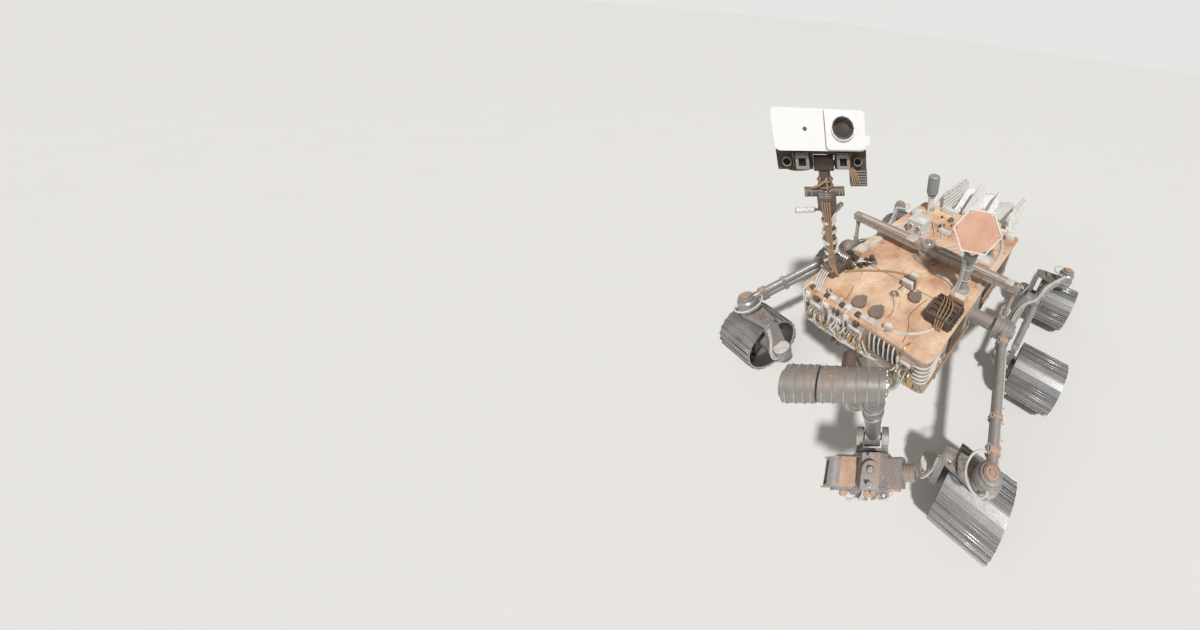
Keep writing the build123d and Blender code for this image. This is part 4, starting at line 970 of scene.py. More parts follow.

# The seams are dark strips; their colour is painted shade of the grooves between the deck's panels.
groove_shade_finish = dusty("painted_groove_shade", (0.22, 0.12, 0.075), cover=-0.2, rough=(0.6, 0.85), cloud_scale=12.0)
seams = []
SEAM_LINES = (
    ((0.98, -0.2), (0.86, -0.19), (0.76, -0.26), (0.6, -0.3)),
    ((0.98, 0.09), (0.9, 0.14), (0.74, 0.13), (0.66, 0.02)),
    ((0.96, 0.33), (0.82, 0.3), (0.76, 0.22), (0.55, 0.26)),
    ((0.52, -0.52), (0.5, -0.3), (0.5, 0.05), (0.51, 0.52)),
    ((0.02, -0.52), (0.01, -0.1), (0.02, 0.52)),
    ((-0.4, -0.53), (-0.4, 0.0), (-0.4, 0.53)),
)
for line in SEAM_LINES:
    seams.append(strand([(x, y, -0.0008) for x, y in line], 0.0032, 3))
settle(seams, "deck_seams", groove_shade_finish, place=ON_DECK)

plates = []
rises = []
for radius, half, thick in ((0.185, 80, 0.006), (0.15, 60, 0.004)):
    middle = (RIB_X, RIB_Y, 0.0005)
    arc = [around(middle, radius, math.radians(a)) for a in range(180 - half, 181 + half, 20)]
    rises.append(strand(arc, thick, 3))
settle(rises, "deck_rolled_ribs", deck_paint, place=ON_DECK)
for x0, x1, y0, y1, high in (
    (0.64, 0.76, -0.3, -0.18, 0.006),
    (0.9, 0.975, -0.42, -0.24, 0.01),
    (0.52, 0.6, -0.06, 0.06, 0.008),
    (0.22, 0.4, -0.12, 0.1, 0.007),
    (-0.1, 0.06, 0.1, 0.28, 0.009),
    (-0.36, -0.24, 0.02, 0.2, 0.007),
    (-0.05, 0.05, -0.5, -0.36, 0.009),
    (0.18, 0.3, -0.52, -0.34, 0.006),
):
    plates.append(block((x0, y0, -0.001), (x1, y1, high), 0.003))
    for x in (x0 + 0.01, x1 - 0.01):
        plates += screw_row((x, y0 + 0.01, high), (x, y1 - 0.01, high), UP, 3, 0.0034)
settle(plates, "deck_plates", deck_paint, place=ON_DECK)

covers = []
sockets = []
for n in range(13):
    y = -0.5 + 0.047 * n
    x = 0.915 + 0.016 * ((n * 2) % 3)
    lid = block((x, y - 0.017, -0.001), (x + 0.036, y + 0.017, 0.009 + 0.007 * ((n * 5) % 3)), 0.003)
    (sockets if n % 3 == 1 else covers).append(lid)
for n in range(6):
    y = -0.46 + n * 0.09
    lid = block(
        (0.992, y - 0.02, -0.055 - 0.012 * (n % 2)), (1.018 + 0.006 * (n % 2), y + 0.022, -0.008), 0.004
    )
    (sockets if n % 2 else covers).append(lid)
settle(covers, "front_edge_covers", white_box, place=ON_DECK)
settle(sockets, "front_edge_connectors", dark_box, place=ON_DECK)

port = [plug((0.655, 0.045, 0), UP, -0.001, 0.014, 0.034, ((0.007, 0.003), (0.006, -0.014)), 40)]
port += bolts((0.655, 0.045, 0.015), UP, 0.028, 8, 0.003)
port.append(plug((0.93, -0.33, 0), UP, 0.008, 0.022, 0.022, ((0.005, 0.004), (0.004, -0.009)), 32))
settle(port, "deck_ports", bolt_metal, place=ON_DECK)

# Striped bracket: a calibration stand, white-painted bars on a small dark frame that is screwed to
# the deck.
stand = [block((0.515, 0.033, 0), (0.53, 0.133, 0.092), 0.003)]
for y in (0.033, 0.118):
    stand.append(block((0.515, y, 0), (0.6, y + 0.015, 0.01), 0.003))
settle(stand, "target_frame", dark_box, place=ON_DECK)
bars = [
    block((0.528, 0.038, 0.012 + n * 0.02), (0.545 + n * 0.006, 0.128, 0.024 + n * 0.02), 0.003)
    for n in range(4)
]
bars.append(plug((0.585, 0.083, 0), UP, 0, 0.022, 0.016, ((0.004, 0.003), (0.003, 0.01)), 24))
settle(bars, "target_bars", white_box, place=ON_DECK)

# Deck boxes: the port tray with four cells is coloured dark, with leads tied across it, and the
# aft box with its two round windows is painted white.
dress(dark_box, "deck_box_side")
dress(white_box, "deck_box_aft")
TRAY = (0.61, 0.43, 0.22, 0.19, 0.084)
CELL_STEPS = ((0.003, 0.003), (0.003, -0.004))
x, y, length, width, height = TRAY
tray = []
for side in BOTH:
    row_y = y + side * (width / 2 - 0.006)
    tray += screw_row(
        (x - length / 2 + 0.005, row_y, height), (x + length / 2 - 0.005, row_y, height), UP, 7
    )
for n in range(6):
    low_x = x - length / 2 + 0.015 + n * 0.034
    for side in BOTH:
        wall = (low_x, y + side * (width / 2 - 0.001), 0.008)
        tray.append(block(wall, (low_x + 0.014, y + side * (width / 2 + 0.01), height - 0.012), 0.002))
for n in range(4):
    cell_x = x - length / 2 + 0.012 + n * 0.05
    for m in range(3):
        tray.append(
            plug((cell_x + 0.018, y - 0.055 + m * 0.055, height), UP, -0.018, -0.008, 0.011, CELL_STEPS, 20)
        )
settle(tray, "tray_fittings", dark_box, place=ON_DECK)
OVER_TRAY = (
    ((-0.13, -0.12, 0.008), (0, 0.012, 0)),
    ((-0.125, -0.08, height - 0.02), (0, 0.015, 0)),
    ((-0.09, -0.04, height + 0.012), (0, 0.02, 0)),
    ((0.02, -0.03, height + 0.006), (0, 0.03, 0)),
    ((0.11, -0.01, height + 0.008), (0, 0.02, 0)),
    ((0.135, 0.0, 0.03), (0, 0.015, 0)),
    ((0.14, 0.01, 0.006), (0, 0.012, 0)),
)
over = []
for n in range(4):
    line = fanned(OVER_TRAY, n)
    line[3].z += 0.004 * (n % 2)
    over.append(strand(line, 0.0042 + 0.001 * (n % 2)))
settle(over, "tray_leads", tan_cable, place=ON_DECK @ Matrix.Translation((x, y, 0)))
AFT = (-0.19, -0.28, 0.16, 0.17, 0.14)
x, y, length, width, height = AFT
eyes = []
for across in (-0.04, 0.04):
    spot = Vector((x + length / 2 + 0.014, y + across, height * 0.62))
    eyes.append(
        drum(spot - AHEAD * 0.001, spot + AHEAD * 0.003, 0.017, ((0.003, -0.008), (0.003, 0.002)), 28)
    )
settle(eyes, "aft_box_windows", glass, place=ON_DECK)
trim = [
    block(
        (x - length / 2 - 0.003, y - width / 2 - 0.003, height * 0.3),
        (x + length / 2 + 0.003, y + width / 2 + 0.003, height * 0.34), 0.001,
    )
]
trim += corner_bolts((x, y, height), (length / 2 - 0.014, width / 2 - 0.014), 0.005)
trim.append(block((x - 0.05, y - 0.05, height - 0.001), (x + 0.05, y + 0.05, height + 0.008), 0.003))
settle(trim, "aft_box_trim", white_box, place=ON_DECK)

caps = []
lumps = []
for x, y, length, width, height in (
    (0.43, 0.455, 0.06, 0.11, 0.066),
    (-0.07, 0.43, 0.14, 0.15, 0.09),
    (0.465, 0.095, 0.056, 0.084, 0.1),
    (0.94, 0.205, 0.04, 0.07, 0.06),
    (0.455, -0.43, 0.12, 0.1, 0.084),
    (-0.56, 0.06, 0.2, 0.25, 0.056),
):
    lumps.append(
        block(
            (x - length * 0.36, y - width * 0.36, height - 0.001),
            (x + length * 0.36, y + width * 0.36, height + 0.006), 0.002,
        )
    )
    caps += corner_bolts((x, y, height), (length * 0.42, width * 0.42), 0.0036)
    caps += corner_bolts((x, y, height + 0.006), (length * 0.28, width * 0.28), 0.0032)
    for sx in BOTH:
        caps.append(
            plug(
                (x, y, height * 0.5), AHEAD, sx * (length / 2 - 0.001), sx * (length / 2 + 0.012), 0.009,
                ((0.002, 0.004),), 18,
            )
        )
settle(caps, "deck_box_fasteners", bolt_metal, place=ON_DECK)
settle(lumps, "deck_box_lids", white_box, place=ON_DECK)

HARNESS_RUNS = (
    # points across the deck, height over it, cable radius, how many, finish
    (((0.4, 0.45), (0.3, 0.4), (0.24, 0.28), (0.26, 0.18)), 0.01, 0.0055, 4, white_tape),
    (
        (
            (0.66, -0.46), (0.56, -0.5), (0.42, -0.5), (0.3, -0.46), (0.1, -0.49), (-0.08, -0.47),
            (-0.24, -0.42),
        ),
        0.01, 0.006, 5, white_tape,
    ),
    (
        ((0.7, -0.4), (0.62, -0.34), (0.52, -0.2), (0.44, -0.1), (0.4, 0.04), (0.44, 0.12)), 0.008,
        0.0045, 3, tan_cable,
    ),
    (((-0.1, -0.26), (-0.02, -0.22), (0.0, -0.1), (-0.06, 0.1), (-0.1, 0.34)), 0.009, 0.005, 4, white_tape),
    (((-0.28, -0.3), (-0.42, -0.34), (-0.54, -0.38), (-0.6, -0.41)), 0.009, 0.005, 3, white_tape),
    (
        ((-0.14, 0.44), (-0.24, 0.43), (-0.34, 0.4), (-0.46, 0.3), (-0.52, 0.18)), 0.008, 0.0048, 4,
        tan_cable,
    ),
    (((0.93, 0.24), (0.9, 0.34), (0.8, 0.42), (0.73, 0.44)), 0.008, 0.0045, 3, white_tape),
    (
        ((0.96, -0.46), (0.94, -0.36), (0.95, -0.22), (0.955, -0.05), (0.95, 0.12), (0.95, 0.24)), 0.008,
        0.005, 4, white_tape,
    ),
    (
        ((-0.66, 0.1), (-0.72, 0.16), (-0.7, 0.3), (-0.62, 0.42), (-0.4, 0.5), (-0.1, 0.51), (0.2, 0.5)),
        0.008, 0.005, 3, white_tape,
    ),
)
for number, (route, lift, radius, count, finish) in enumerate(HARNESS_RUNS):
    lines = []
    for n in range(count):
        points = []
        for k, (px, py) in enumerate(route):
            ahead = Vector(route[min(k + 1, len(route) - 1)]) - Vector(route[max(k - 1, 0)])
            across = Vector((-ahead.y, ahead.x)).normalized() * (
                (n - (count - 1) / 2) * radius * 1.7 + dice.uniform(-0.002, 0.002)
            )
            points.append(
                (px + across.x, py + across.y, lift * (0.55 + 0.45 * (n % 2)) + dice.uniform(0, 0.003))
            )
        lines.append(strand(points, radius * (0.85 + 0.3 * ((n + number) % 2))))
    for k in range(0, len(route) - 1, 2):
        middle = (Vector(route[k]) + Vector(route[k + 1])) / 2
        ahead = (Vector(route[k + 1]) - Vector(route[k])).normalized()
        half = radius * 0.95 * count
        clip = block((-0.006, -half, -0.001), (0.006, half, lift + radius * 0.8), 0.003)
        turn = Matrix.Rotation(math.atan2(ahead.y, ahead.x), 4, "Z")
        clip.data.transform(Matrix.Translation((middle.x, middle.y, 0)) @ turn)
        lines.append(clip)
    settle(lines, f"deck_harness_{number + 1}", finish, place=ON_DECK)

# Differential: a milled beam on a bolted pivot, with clevis ends that take the links. Its front face
# is pocketed, a taped lead is clipped along its top, and white marks band its ends.
BEAM_X = 0.12
BEAM_TOP = 1.235
BEAM_LOW = 1.175
beam_paint = dusty(
    "beam_paint", (0.44, 0.385, 0.335), cover=0.1, rough=(0.42, 0.8), worn=(0.62, 0.58, 0.53)
)
dress(beam_paint, "differential_")


def beam_half(y):
    """Half the beam's width at that distance from its pivot."""
    return 0.046 - 0.016 * max(0.0, abs(y) - 0.24) / 0.55


ribs = []
for side in BOTH:
    for n in range(7):
        y = side * (0.12 + n * 0.098)
        half = beam_half(y)
        for face in BOTH:
            x = BEAM_X + face * (half + 0.0005)
            ribs.append(
                block(
                    (x, y - 0.004, BEAM_LOW + 0.006), (x + face * 0.005, y + 0.004, BEAM_TOP - 0.006),
                    0.0015,
                )
            )
    for face in BOTH:
        for z0, z1 in ((BEAM_LOW, BEAM_LOW + 0.008), (BEAM_TOP - 0.008, BEAM_TOP)):
            flange = block((-0.003, -0.335, z0), (0.004, 0.335, z1), 0.0015)
            lean = Matrix.Rotation(math.atan2(0.016, 0.55) * face * side, 4, "Z")
            spot = (BEAM_X + face * (beam_half(0.45) + 0.001), side * 0.425, 0)
            flange.data.transform(Matrix.Translation(spot) @ lean)
            ribs.append(flange)
settle(ribs, "beam_pockets", beam_paint)
hard = bolts((BEAM_X, 0, 1.255), UP, 0.048, 8, 0.006)
hard.append(plug((BEAM_X, 0, 0), UP, 1.254, 1.262, 0.03, ((0.006, 0.004), (0.006, -0.006))))
hard += bolts((BEAM_X, 0, 1.114), UP, 0.1, 12, 0.006)
for side in BOTH:
    hard += [
        plug(
            (BEAM_X, side * 0.762, BEAM_TOP), UP, -0.001, 0.009, 0.019, ((0.004, 0.006), (0.004, -0.003)),
            24,
        )
    ]
    hard.append(hoop((BEAM_X, side * 0.762, BEAM_LOW - 0.031), UP, 0.0225, 0.003, 28))
    hard.append(hoop((0.16, side * 0.762, 0.991), UP, 0.0225, 0.003, 28))
    for n in range(3):
        hard += bolts((BEAM_X, side * (0.28 + 0.14 * n), BEAM_TOP), UP, 0.016, 2, 0.0042, 0)
settle(hard, "differential_bolts", bolt_metal)
stripe = [
    block((BEAM_X - 0.0355, 0.68, BEAM_TOP - 0.012), (BEAM_X + 0.0355, 0.735, BEAM_TOP + 0.0025), 0.001)
]
stripe += [
    block((BEAM_X - 0.049, -0.2, BEAM_TOP - 0.012), (BEAM_X + 0.049, -0.12, BEAM_TOP + 0.0025), 0.001)
]
for route in ((-0.7, -0.52, -0.36, -0.22, -0.1), (0.11, 0.24, 0.4, 0.58, 0.72)):
    line = [(BEAM_X + 0.02, y, BEAM_TOP + 0.006 + 0.002 * (k % 2)) for k, y in enumerate(route)]
    stripe += [strand(line, 0.005), strand([(px - 0.013, py, pz) for px, py, pz in line], 0.0042)]
settle(stripe, "beam_marks_and_lead", white_tape)

# Mast: composite tube on a bolted base with the motor that once raised it. Taped harness is knotted
# round the tube, and two wind booms stand out of it, each with a white sleeve.
AT_MAST = Matrix.Translation((0.74, -0.478, 0.0))
mast_paint = dusty("mast_paint", (0.13, 0.105, 0.09), cover=0.05, rough=(0.42, 0.8))
dress(mast_paint, "mast_base", "mast_column", "pan_unit")


def round_mast(z, angle, far=0.0):
    """A place beside the mast's tube, from the mast's foot on the ground plane."""
    return around(UP * z, 0.041 + far, math.radians(angle))


wrap = []
for start, stop, first, turns, far in (
    (1.235, 1.62, -10, 1.4, 0.004), (1.3, 1.6, 120, 1.1, 0.004), (1.24, 1.5, 200, -1.2, 0.01)
):
    steps = 12
    points = []
    for n in range(steps + 1):
        share = n / steps
        z = start + (stop - start) * share
        extra = max(0.0, 0.024 - (z - 1.22) * 0.3)
        points.append(round_mast(z, first + 360 * turns * share, far + extra + dice.uniform(0, 0.004)))
    wrap.append(strand(points, 0.0085))
for z in (1.3, 1.385, 1.47, 1.55):
    wrap.append(
        hoop(UP * z, (dice.uniform(-0.05, 0.05), dice.uniform(-0.05, 0.05), 1), 0.0445, 0.0065, 32, 8)
    )
    wrap.append(
        hoop(
            UP * (z + 0.013), (dice.uniform(-0.07, 0.07), dice.uniform(-0.07, 0.07), 1), 0.0455, 0.0052, 32,
            8,
        )
    )
    knot = round_mast(z + 0.006, dice.uniform(-20, 70), 0.014)
    wrap.append(drum(knot - PORT * 0.008, knot + Vector((0, 0.01, 0.004)), 0.014, ((0.003, 0.004),), 16))
settle(wrap, "mast_harness_wraps", white_tape, place=AT_MAST)
runs = []
for n in range(4):
    angle = 20 + n * 13
    points = [
        Vector((0.03, 0.085, DECK_TOP + 0.01)), round_mast(1.2, angle, 0.028),
        round_mast(1.3, angle + 4, 0.012),
    ]
    points += [
        round_mast(1.42, angle - 3, 0.011), round_mast(1.56, angle + 4, 0.01),
        round_mast(1.63, angle, 0.024), round_mast(1.72, angle, 0.026),
    ]
    runs.append(strand(points, 0.0058))
settle(runs, "mast_leads", tan_cable, place=AT_MAST)
sleeves = []
for heading, height in ((-42.0, 1.64), (-162.0, 1.58)):
    along = heading_vector(heading, 0)
    root = UP * height
    sleeves.append(
        drum(root + along * 0.085, root + along * 0.196, 0.0185, ((0.004, 0.006), (0.004, 0.004)), 24)
    )
    sleeves += hoops(root, along, (0.1, 0.13, 0.16), 0.0185, 0.0025, 24)
settle(sleeves, "boom_sleeves", white_box, place=AT_MAST)
foot = corner_bolts(UP * (DECK_TOP + 0.06), (0.06, 0.052), 0.0062)
foot += hoops(ORIGIN, UP, (1.175, 1.19, 1.235), 0.0565, 0.0032, 40)
foot += bolts(UP * 1.242, UP, 0.0495, 10, 0.0042)
foot += bolts(UP * 1.655, -UP, 0.052, 8, 0.004)
latch = Vector((-0.112, 0, 1.164))
foot += hoops(latch, PORT, (-0.05, -0.03, -0.01, 0.01, 0.03, 0.05, 0.07), 0.0565, 0.0028, 40)
foot += bolts(latch + PORT * -0.062, -PORT, 0.045, 10, 0.005)
foot.append(plug(latch, PORT, 0.117, 0.123, 0.026, ((0.006, 0.004), (0.005, -0.004)), 28))
settle(foot, "mast_base_fittings", bolt_metal, place=AT_MAST)
coils = []
for n in range(4):
    spot = latch + Vector((-0.03 + n * 0.012, 0.03 + n * 0.035, 0.052 + 0.01 * (n % 2)))
    coils.append(
        drum(spot, spot + Vector((0.0, 0.022, 0.02)), 0.017, ((0.004, 0.004), (0.003, -0.006)), 20)
    )
for n in range(3):
    spot = Vector((-0.17 - 0.045 * n, 0.13 + 0.02 * n, DECK_TOP))
    coils.append(drum(spot, spot + UP * (0.05 + 0.012 * n), 0.021, ((0.005, 0.006), (0.005, -0.004)), 24))
settle(coils, "mast_connectors", dark_box, place=AT_MAST)
AFT_APRON = (
    ((-0.085, 0.05, 0.055), (0, 0.012, 0)),
    ((-0.16, 0.07, 0.075), (0, 0.016, 0)),
    ((-0.22, 0.1, 0.045), (0, 0.018, 0)),
    ((-0.25, 0.12, 0.012), (0, 0.016, 0)),
    ((-0.33, 0.13, 0.007), (0, 0.012, 0)),
)
FRONT_APRON = (
    ((0.075, -0.03, 0.05), (0, 0.02, 0)),
    ((0.13, -0.02, 0.055), (0, 0.022, 0)),
    ((0.17, 0.0, 0.012), (0, 0.022, 0)),
    ((0.22, 0.03, 0.008), (0, 0.02, 0)),
)
apron = [strand(fanned(AFT_APRON, n), 0.0062) for n in range(5)]
apron += [strand(fanned(FRONT_APRON, n), 0.0065) for n in range(4)]
settle(apron, "mast_base_leads", white_tape, place=AT_MAST @ ON_DECK)

MAST_HEADING = Matrix.Rotation(math.radians(47), 4, "Z")
HEAD_TILT = Matrix.Rotation(math.radians(-15), 4, "Y")
PAN = AT_MAST @ Matrix.Translation(UP * 1.74) @ MAST_HEADING
twist = hoops(ORIGIN, UP, (0.01, 0.022, 0.034), 0.0605, 0.0026, 40)
twist += bolts((0, 0, 0.045), UP, 0.05, 10, 0.004)
twist += hoops((0.01, 0, 0.031), PORT, (-0.115, -0.085, 0.08, 0.1), 0.0305, 0.003, 28)
twist += bolts((0.01, -0.126, 0.031), -PORT, 0.022, 6, 0.004)
twist += bolts((0.01, 0.112, 0.031), PORT, 0.022, 6, 0.004)
twist += bolts((0, 0.058, 0.21), PORT, 0.038, 8, 0.0036)
settle(twist, "pan_unit_fittings", bolt_metal, "mast_pan", PAN)
neck = []
for n in range(7):
    angle = math.radians(n * 48 + 12)
    bend = (
        (0.05, 0.0, 0.039), (0.075, 0.15, 0.039), (0.098, -0.1, 0.039), (0.116, 0.12, 0.039),
        (0.127, 0.0, 0.03),
    )
    neck.append(strand([around((0, 0, z), close, angle + swing) for z, swing, close in bend], 0.0062))
for n in range(3):
    points = [
        (0.03, -0.09 + n * 0.012, 0.064), (0.05, -0.05 + n * 0.01, 0.085),
        (0.046, -0.01, 0.1 + n * 0.005), (0.032, 0.015, 0.124),
    ]
    neck.append(strand(points, 0.0055))
neck += hoops(ORIGIN, UP, (0.07, 0.108), 0.046, 0.0035, 32)
settle(neck, "neck_leads", tan_cable, "mast_pan", PAN)

# Head: a white fibre housing with a raised door round its window, bolted over a bar of anodised
# cameras whose leads are bundled behind it.
HEAD = AT_MAST @ Matrix.Translation(UP * 1.95) @ MAST_HEADING @ HEAD_TILT
head_paint = Finish("head_paint")
haze = head_paint.noise(4.0, 4.0)
streak = head_paint.noise(38.0, 3.0)
head_film = (head_paint.upward() * 0.18 + haze * 1.4 + streak * 0.2 - 0.95).over(0.0, 1.0)
head_paint.feed("Base Color", head_paint.blend(head_film * 0.55, (0.885, 0.88, 0.865), (0.62, 0.5, 0.41)))
head_paint.feed("Roughness", head_film * 0.3 + 0.4)
head_paint.relief(streak, 0.00008)
camera_dark = dusty("camera_anodise", (0.085, 0.065, 0.052), rough=(0.38, 0.75), cloud_scale=12.0)
camera_grey = dusty("camera_housing", (0.3, 0.285, 0.27), cover=-0.1, rough=(0.38, 0.75), cloud_scale=12.0)
dress(head_paint, "mast_head")
dress(camera_dark, "camera_bar", "hazard_")
EYE_Y = 0.117
EYE_Z = 0.196
DOOR = 0.162
eye = [
    plug(
        (0, EYE_Y, EYE_Z), AHEAD, 0.121, 0.148, 0.0495, ((0.007, -0.01), (0.008, -0.006), (0.006, 0.004)),
        48,
    )
]
settle(eye, "head_window_glass", glass, "mast_tilt", HEAD)
ring = [hoop((DOOR + 0.0145, EYE_Y, EYE_Z), AHEAD, 0.0525, 0.0035, 56, 8)]
ring.append(plug((0, EYE_Y, EYE_Z), AHEAD, 0.149, 0.157, 0.0505, ((0.008, -0.006),), 48))
ring += bolts((DOOR + 0.013, EYE_Y, EYE_Z), AHEAD, 0.0585, 12, 0.0022)
ring.append(plug((0, -0.078, 0.186), AHEAD, 0.149, 0.153, 0.01, ((0.003, -0.003),), 20))
settle(ring, "head_window_ring", dark_box, "mast_tilt", HEAD)
trim = []
for y in (0.036, 0.218):
    trim += screw_row((DOOR, y, 0.1), (DOOR, y, 0.262), AHEAD, 6, 0.0026)
for z in (0.094, 0.268):
    trim += screw_row((0.15, -0.215, z), (0.15, 0.0, z), AHEAD, 7, 0.0026)
for y in (-0.2, 0.2):
    trim += screw_row((-0.18, y, 0.283), (0.13, y, 0.283), UP, 8, 0.003)
for z in (0.1, 0.262):
    trim += screw_row((-0.2, -0.2, z), (-0.2, 0.2, z), -AHEAD, 9, 0.003)
trim.append(block((-0.206, -0.15, 0.13), (-0.199, 0.15, 0.235), 0.003))
trim.append(block((-0.12, -0.1, 0.282), (0.08, 0.1, 0.286), 0.003))
trim.append(block((0.054, 0.262, 0.112), (0.116, 0.266, 0.156), 0.002))
settle(trim, "head_trim", head_paint, "mast_tilt", HEAD)
# Dark strips mark the housing's seams; their colour is painted shade of the grooves.
seam = [strand([(0.1508, 0.022, z) for z in (0.084, 0.18, 0.278)], 0.0016, 2)]
seam.append(strand([(-0.02, -0.2352, z) for z in (0.1, 0.18, 0.262)], 0.0016, 2))
settle(seam, "head_seams", groove_shade_finish, "mast_tilt", HEAD)

EYE_FRAME = (
    # the four bars round a camera's square window: y and z from its middle
    (-0.036, 0.036, 0.035, 0.053),
    (-0.036, 0.036, -0.025, -0.007),
    (-0.036, -0.0195, -0.008, 0.036),
    (0.0195, 0.036, -0.008, 0.036),
)
cameras = []
panes = []
faces = []
for across in (-0.112, 0.112):
    panes.append(block((0.0845, across - 0.0185, -0.0045), (0.0875, across + 0.0185, 0.0325), 0.001))
    for y0, y1, z0, z1 in EYE_FRAME:
        faces.append(block((0.094, across + y0, z0), (0.0985, across + y1, z1), 0.0015))
    for dy in (-0.03, 0.03):
        cameras += screw_row((0.0983, across + dy, -0.018), (0.0983, across + dy, 0.046), AHEAD, 3, 0.0024)
    faces.append(block((0.028, across - 0.034, 0.053), (0.088, across + 0.034, 0.062), 0.003))
for across in (-0.196, 0.196):
    panes.append(
        plug((0, across, 0.014), AHEAD, 0.0645, 0.0675, 0.0175, ((0.003, -0.003), (0.003, 0.003)), 32)
    )
    cameras.append(hoop((0.0742, across, 0.014), AHEAD, 0.0222, 0.0032, 36))
    cameras += [hoop((0.055 + 0.007 * n, across, 0.014), AHEAD, 0.0262, 0.0016, 36) for n in range(2)]
settle(panes, "camera_glass", glass, "mast_tilt", HEAD)
settle(faces, "camera_faces", camera_grey, "mast_tilt", HEAD)
for n in range(6):
    z = -0.126 + n * 0.016
    cameras.append(block((0.044, 0.154, z), (0.051, 0.246, z + 0.007), 0.0015))
    cameras.append(block((-0.04, 0.249, z), (0.04, 0.254, z + 0.007), 0.0015))
cameras += screw_row((0.041, -0.235, -0.02), (0.041, -0.235, 0.06), AHEAD, 4, 0.003)
cameras += bolts((0, -0.108, 0), -PORT, 0.028, 8, 0.0036)
cameras += bolts((0, 0.108, 0), PORT, 0.028, 8, 0.0036)
settle(cameras, "camera_bar_fittings", camera_grey, "mast_tilt", HEAD)
LOW_LOOM = (
    ((-0.03, -0.2, -0.034), (0.012, 0, 0)),
    ((-0.03, -0.16, -0.046), (0.012, 0, 0)),
    ((-0.02, -0.11, -0.038), (0.01, 0, 0)),
    ((-0.02, -0.085, -0.034), (0.01, 0, 0)),
)
LONG_LENS_LOOM = (
    ((0.03, 0.165, -0.128), (0, 0.014, 0)),
    ((0.058, 0.168, -0.13), (0, 0.014, 0)),
    ((0.062, 0.16, -0.08), (0, 0.012, 0)),
    ((0.05, 0.15, -0.035), (0, 0.01, 0)),
    ((0.04, 0.14, -0.012), (0, 0.01, 0)),
)
BACK_LOOM = (
    ((-0.062, -0.2, 0.06), (0, 0.02, 0)),
    ((-0.066, -0.12, 0.04), (0, 0.03, 0)),
    ((-0.064, -0.02, 0.066), (0, 0.02, 0)),
    ((-0.066, 0.1, 0.03), (0, 0.02, 0)),
    ((-0.062, 0.19, 0.05), (0, 0.01, 0)),
)
looms = []
for n in range(4):
    looms.append(strand(fanned(LOW_LOOM, n), 0.005))
    looms.append(strand(fanned(LONG_LENS_LOOM, n), 0.0042))
    looms.append(strand(fanned(BACK_LOOM, n), 0.0055))
for across in (-0.162, -0.056, 0.156):
    points = [
        (0.04, across, 0.062), (0.06, across + 0.004, 0.05), (0.058, across - 0.004, 0.01),
        (0.04, across, -0.012),
    ]
    looms.append(strand(points, 0.0045))
settle(looms, "camera_bar_leads", tan_cable, "mast_tilt", HEAD)

# High-gain antenna: a six-sided panel of printed patches in a thin white rim, gimballed on a post
# with its motors in dark cans and a flat lead looped round each turn.
antenna_face = Finish("antenna_face", Roughness=0.5)
tint = antenna_face.noise(7.0, 4.0)
speckle = antenna_face.noise(150.0, 2.0)
face_colour = antenna_face.blend(tint.over(0.35, 0.65), (0.7, 0.405, 0.28), (0.58, 0.315, 0.205))
patched = antenna_face.blend(speckle.over(0.55, 0.75) * 0.35, face_colour, (0.8, 0.54, 0.4))
ANTENNA_HEADING = 20
ANTENNA_LIFT = 32
ANTENNA_FACING = heading_vector(ANTENNA_HEADING, ANTENNA_LIFT)
side_on = antenna_face.node("TexCoord", out="Normal")
parts = [antenna_face.node("SeparateXYZ", out=axis, Vector=side_on) for axis in "XYZ"]
facing = parts[0] * ANTENNA_FACING.x + parts[1] * ANTENNA_FACING.y + parts[2] * ANTENNA_FACING.z
antenna_face.feed("Base Color", antenna_face.blend(facing.over(0.5, 0.9), (0.3, 0.27, 0.25), patched))
antenna_face.feed("Roughness", tint * 0.2 + 0.42)
antenna_face.relief(speckle, 0.0003)
dress(antenna_face, "antenna_panel")
aerial_paint = dusty("aerial_paint", (0.34, 0.355, 0.365), cover=-0.1, rough=(0.4, 0.75), cloud_scale=10.0)
dress(aerial_paint, "antenna_post", "antenna_yoke", "uhf_", "low_gain")
AT_HGA = Matrix.Translation((0.28, 0.41, 0.0))
HGA_TURN = Matrix.Rotation(math.radians(ANTENNA_HEADING), 4, "Z")
HGA_PAN = AT_HGA @ Matrix.Translation(UP * 1.45) @ HGA_TURN
HGA_TILT = AT_HGA @ Matrix.Translation(UP * 1.55) @ HGA_TURN
HGA_TILT = HGA_TILT @ Matrix.Rotation(math.radians(-ANTENNA_LIFT), 4, "Y")
APOTHEM = 0.135
bpy.ops.object.select_all(action="DESELECT")
bpy.ops.mesh.primitive_cylinder_add(
    vertices=6, radius=APOTHEM / math.cos(math.pi / 6) + 0.004, depth=0.026, location=(0, 0, 0)
)
rim = take()
bpy.ops.object.mode_set(mode="EDIT")
pick(lambda middle, normal: abs(normal.z) > 0.9)
bpy.ops.mesh.inset(thickness=0.01)
pick(lambda middle, normal: abs(normal.z) > 0.9 and middle.xy.length < 0.01)
bpy.ops.mesh.bridge_edge_loops()
bpy.ops.mesh.select_all(action="SELECT")
bpy.ops.mesh.bevel(offset=0.0015, segments=1)
bpy.ops.mesh.select_all(action="SELECT")
bpy.ops.mesh.normals_make_consistent(inside=False)
bpy.ops.object.mode_set(mode="OBJECT")
rim.data.transform(Matrix.Translation((0.0845, 0, 0.06)) @ Matrix.Rotation(math.radians(90), 4, "Y"))
settle([rim], "antenna_rim", white_box, "antenna_tilt", HGA_TILT)
back = []
for n in range(6):
    spoke = block((-0.003, 0.02, -0.006), (0.003, 0.118, 0.006), 0.0015)
    spoke.data.transform(
        Matrix.Translation((0.068, 0, 0.06)) @ Matrix.Rotation(math.radians(60 * n), 4, "X")
    )
    back.append(spoke)
back += bolts((0.058, 0, 0.06), -AHEAD, 0.055, 6, 0.005)
back += bolts((0.0, -0.052, 0.0), -PORT, 0.012, 3, 0.0035)
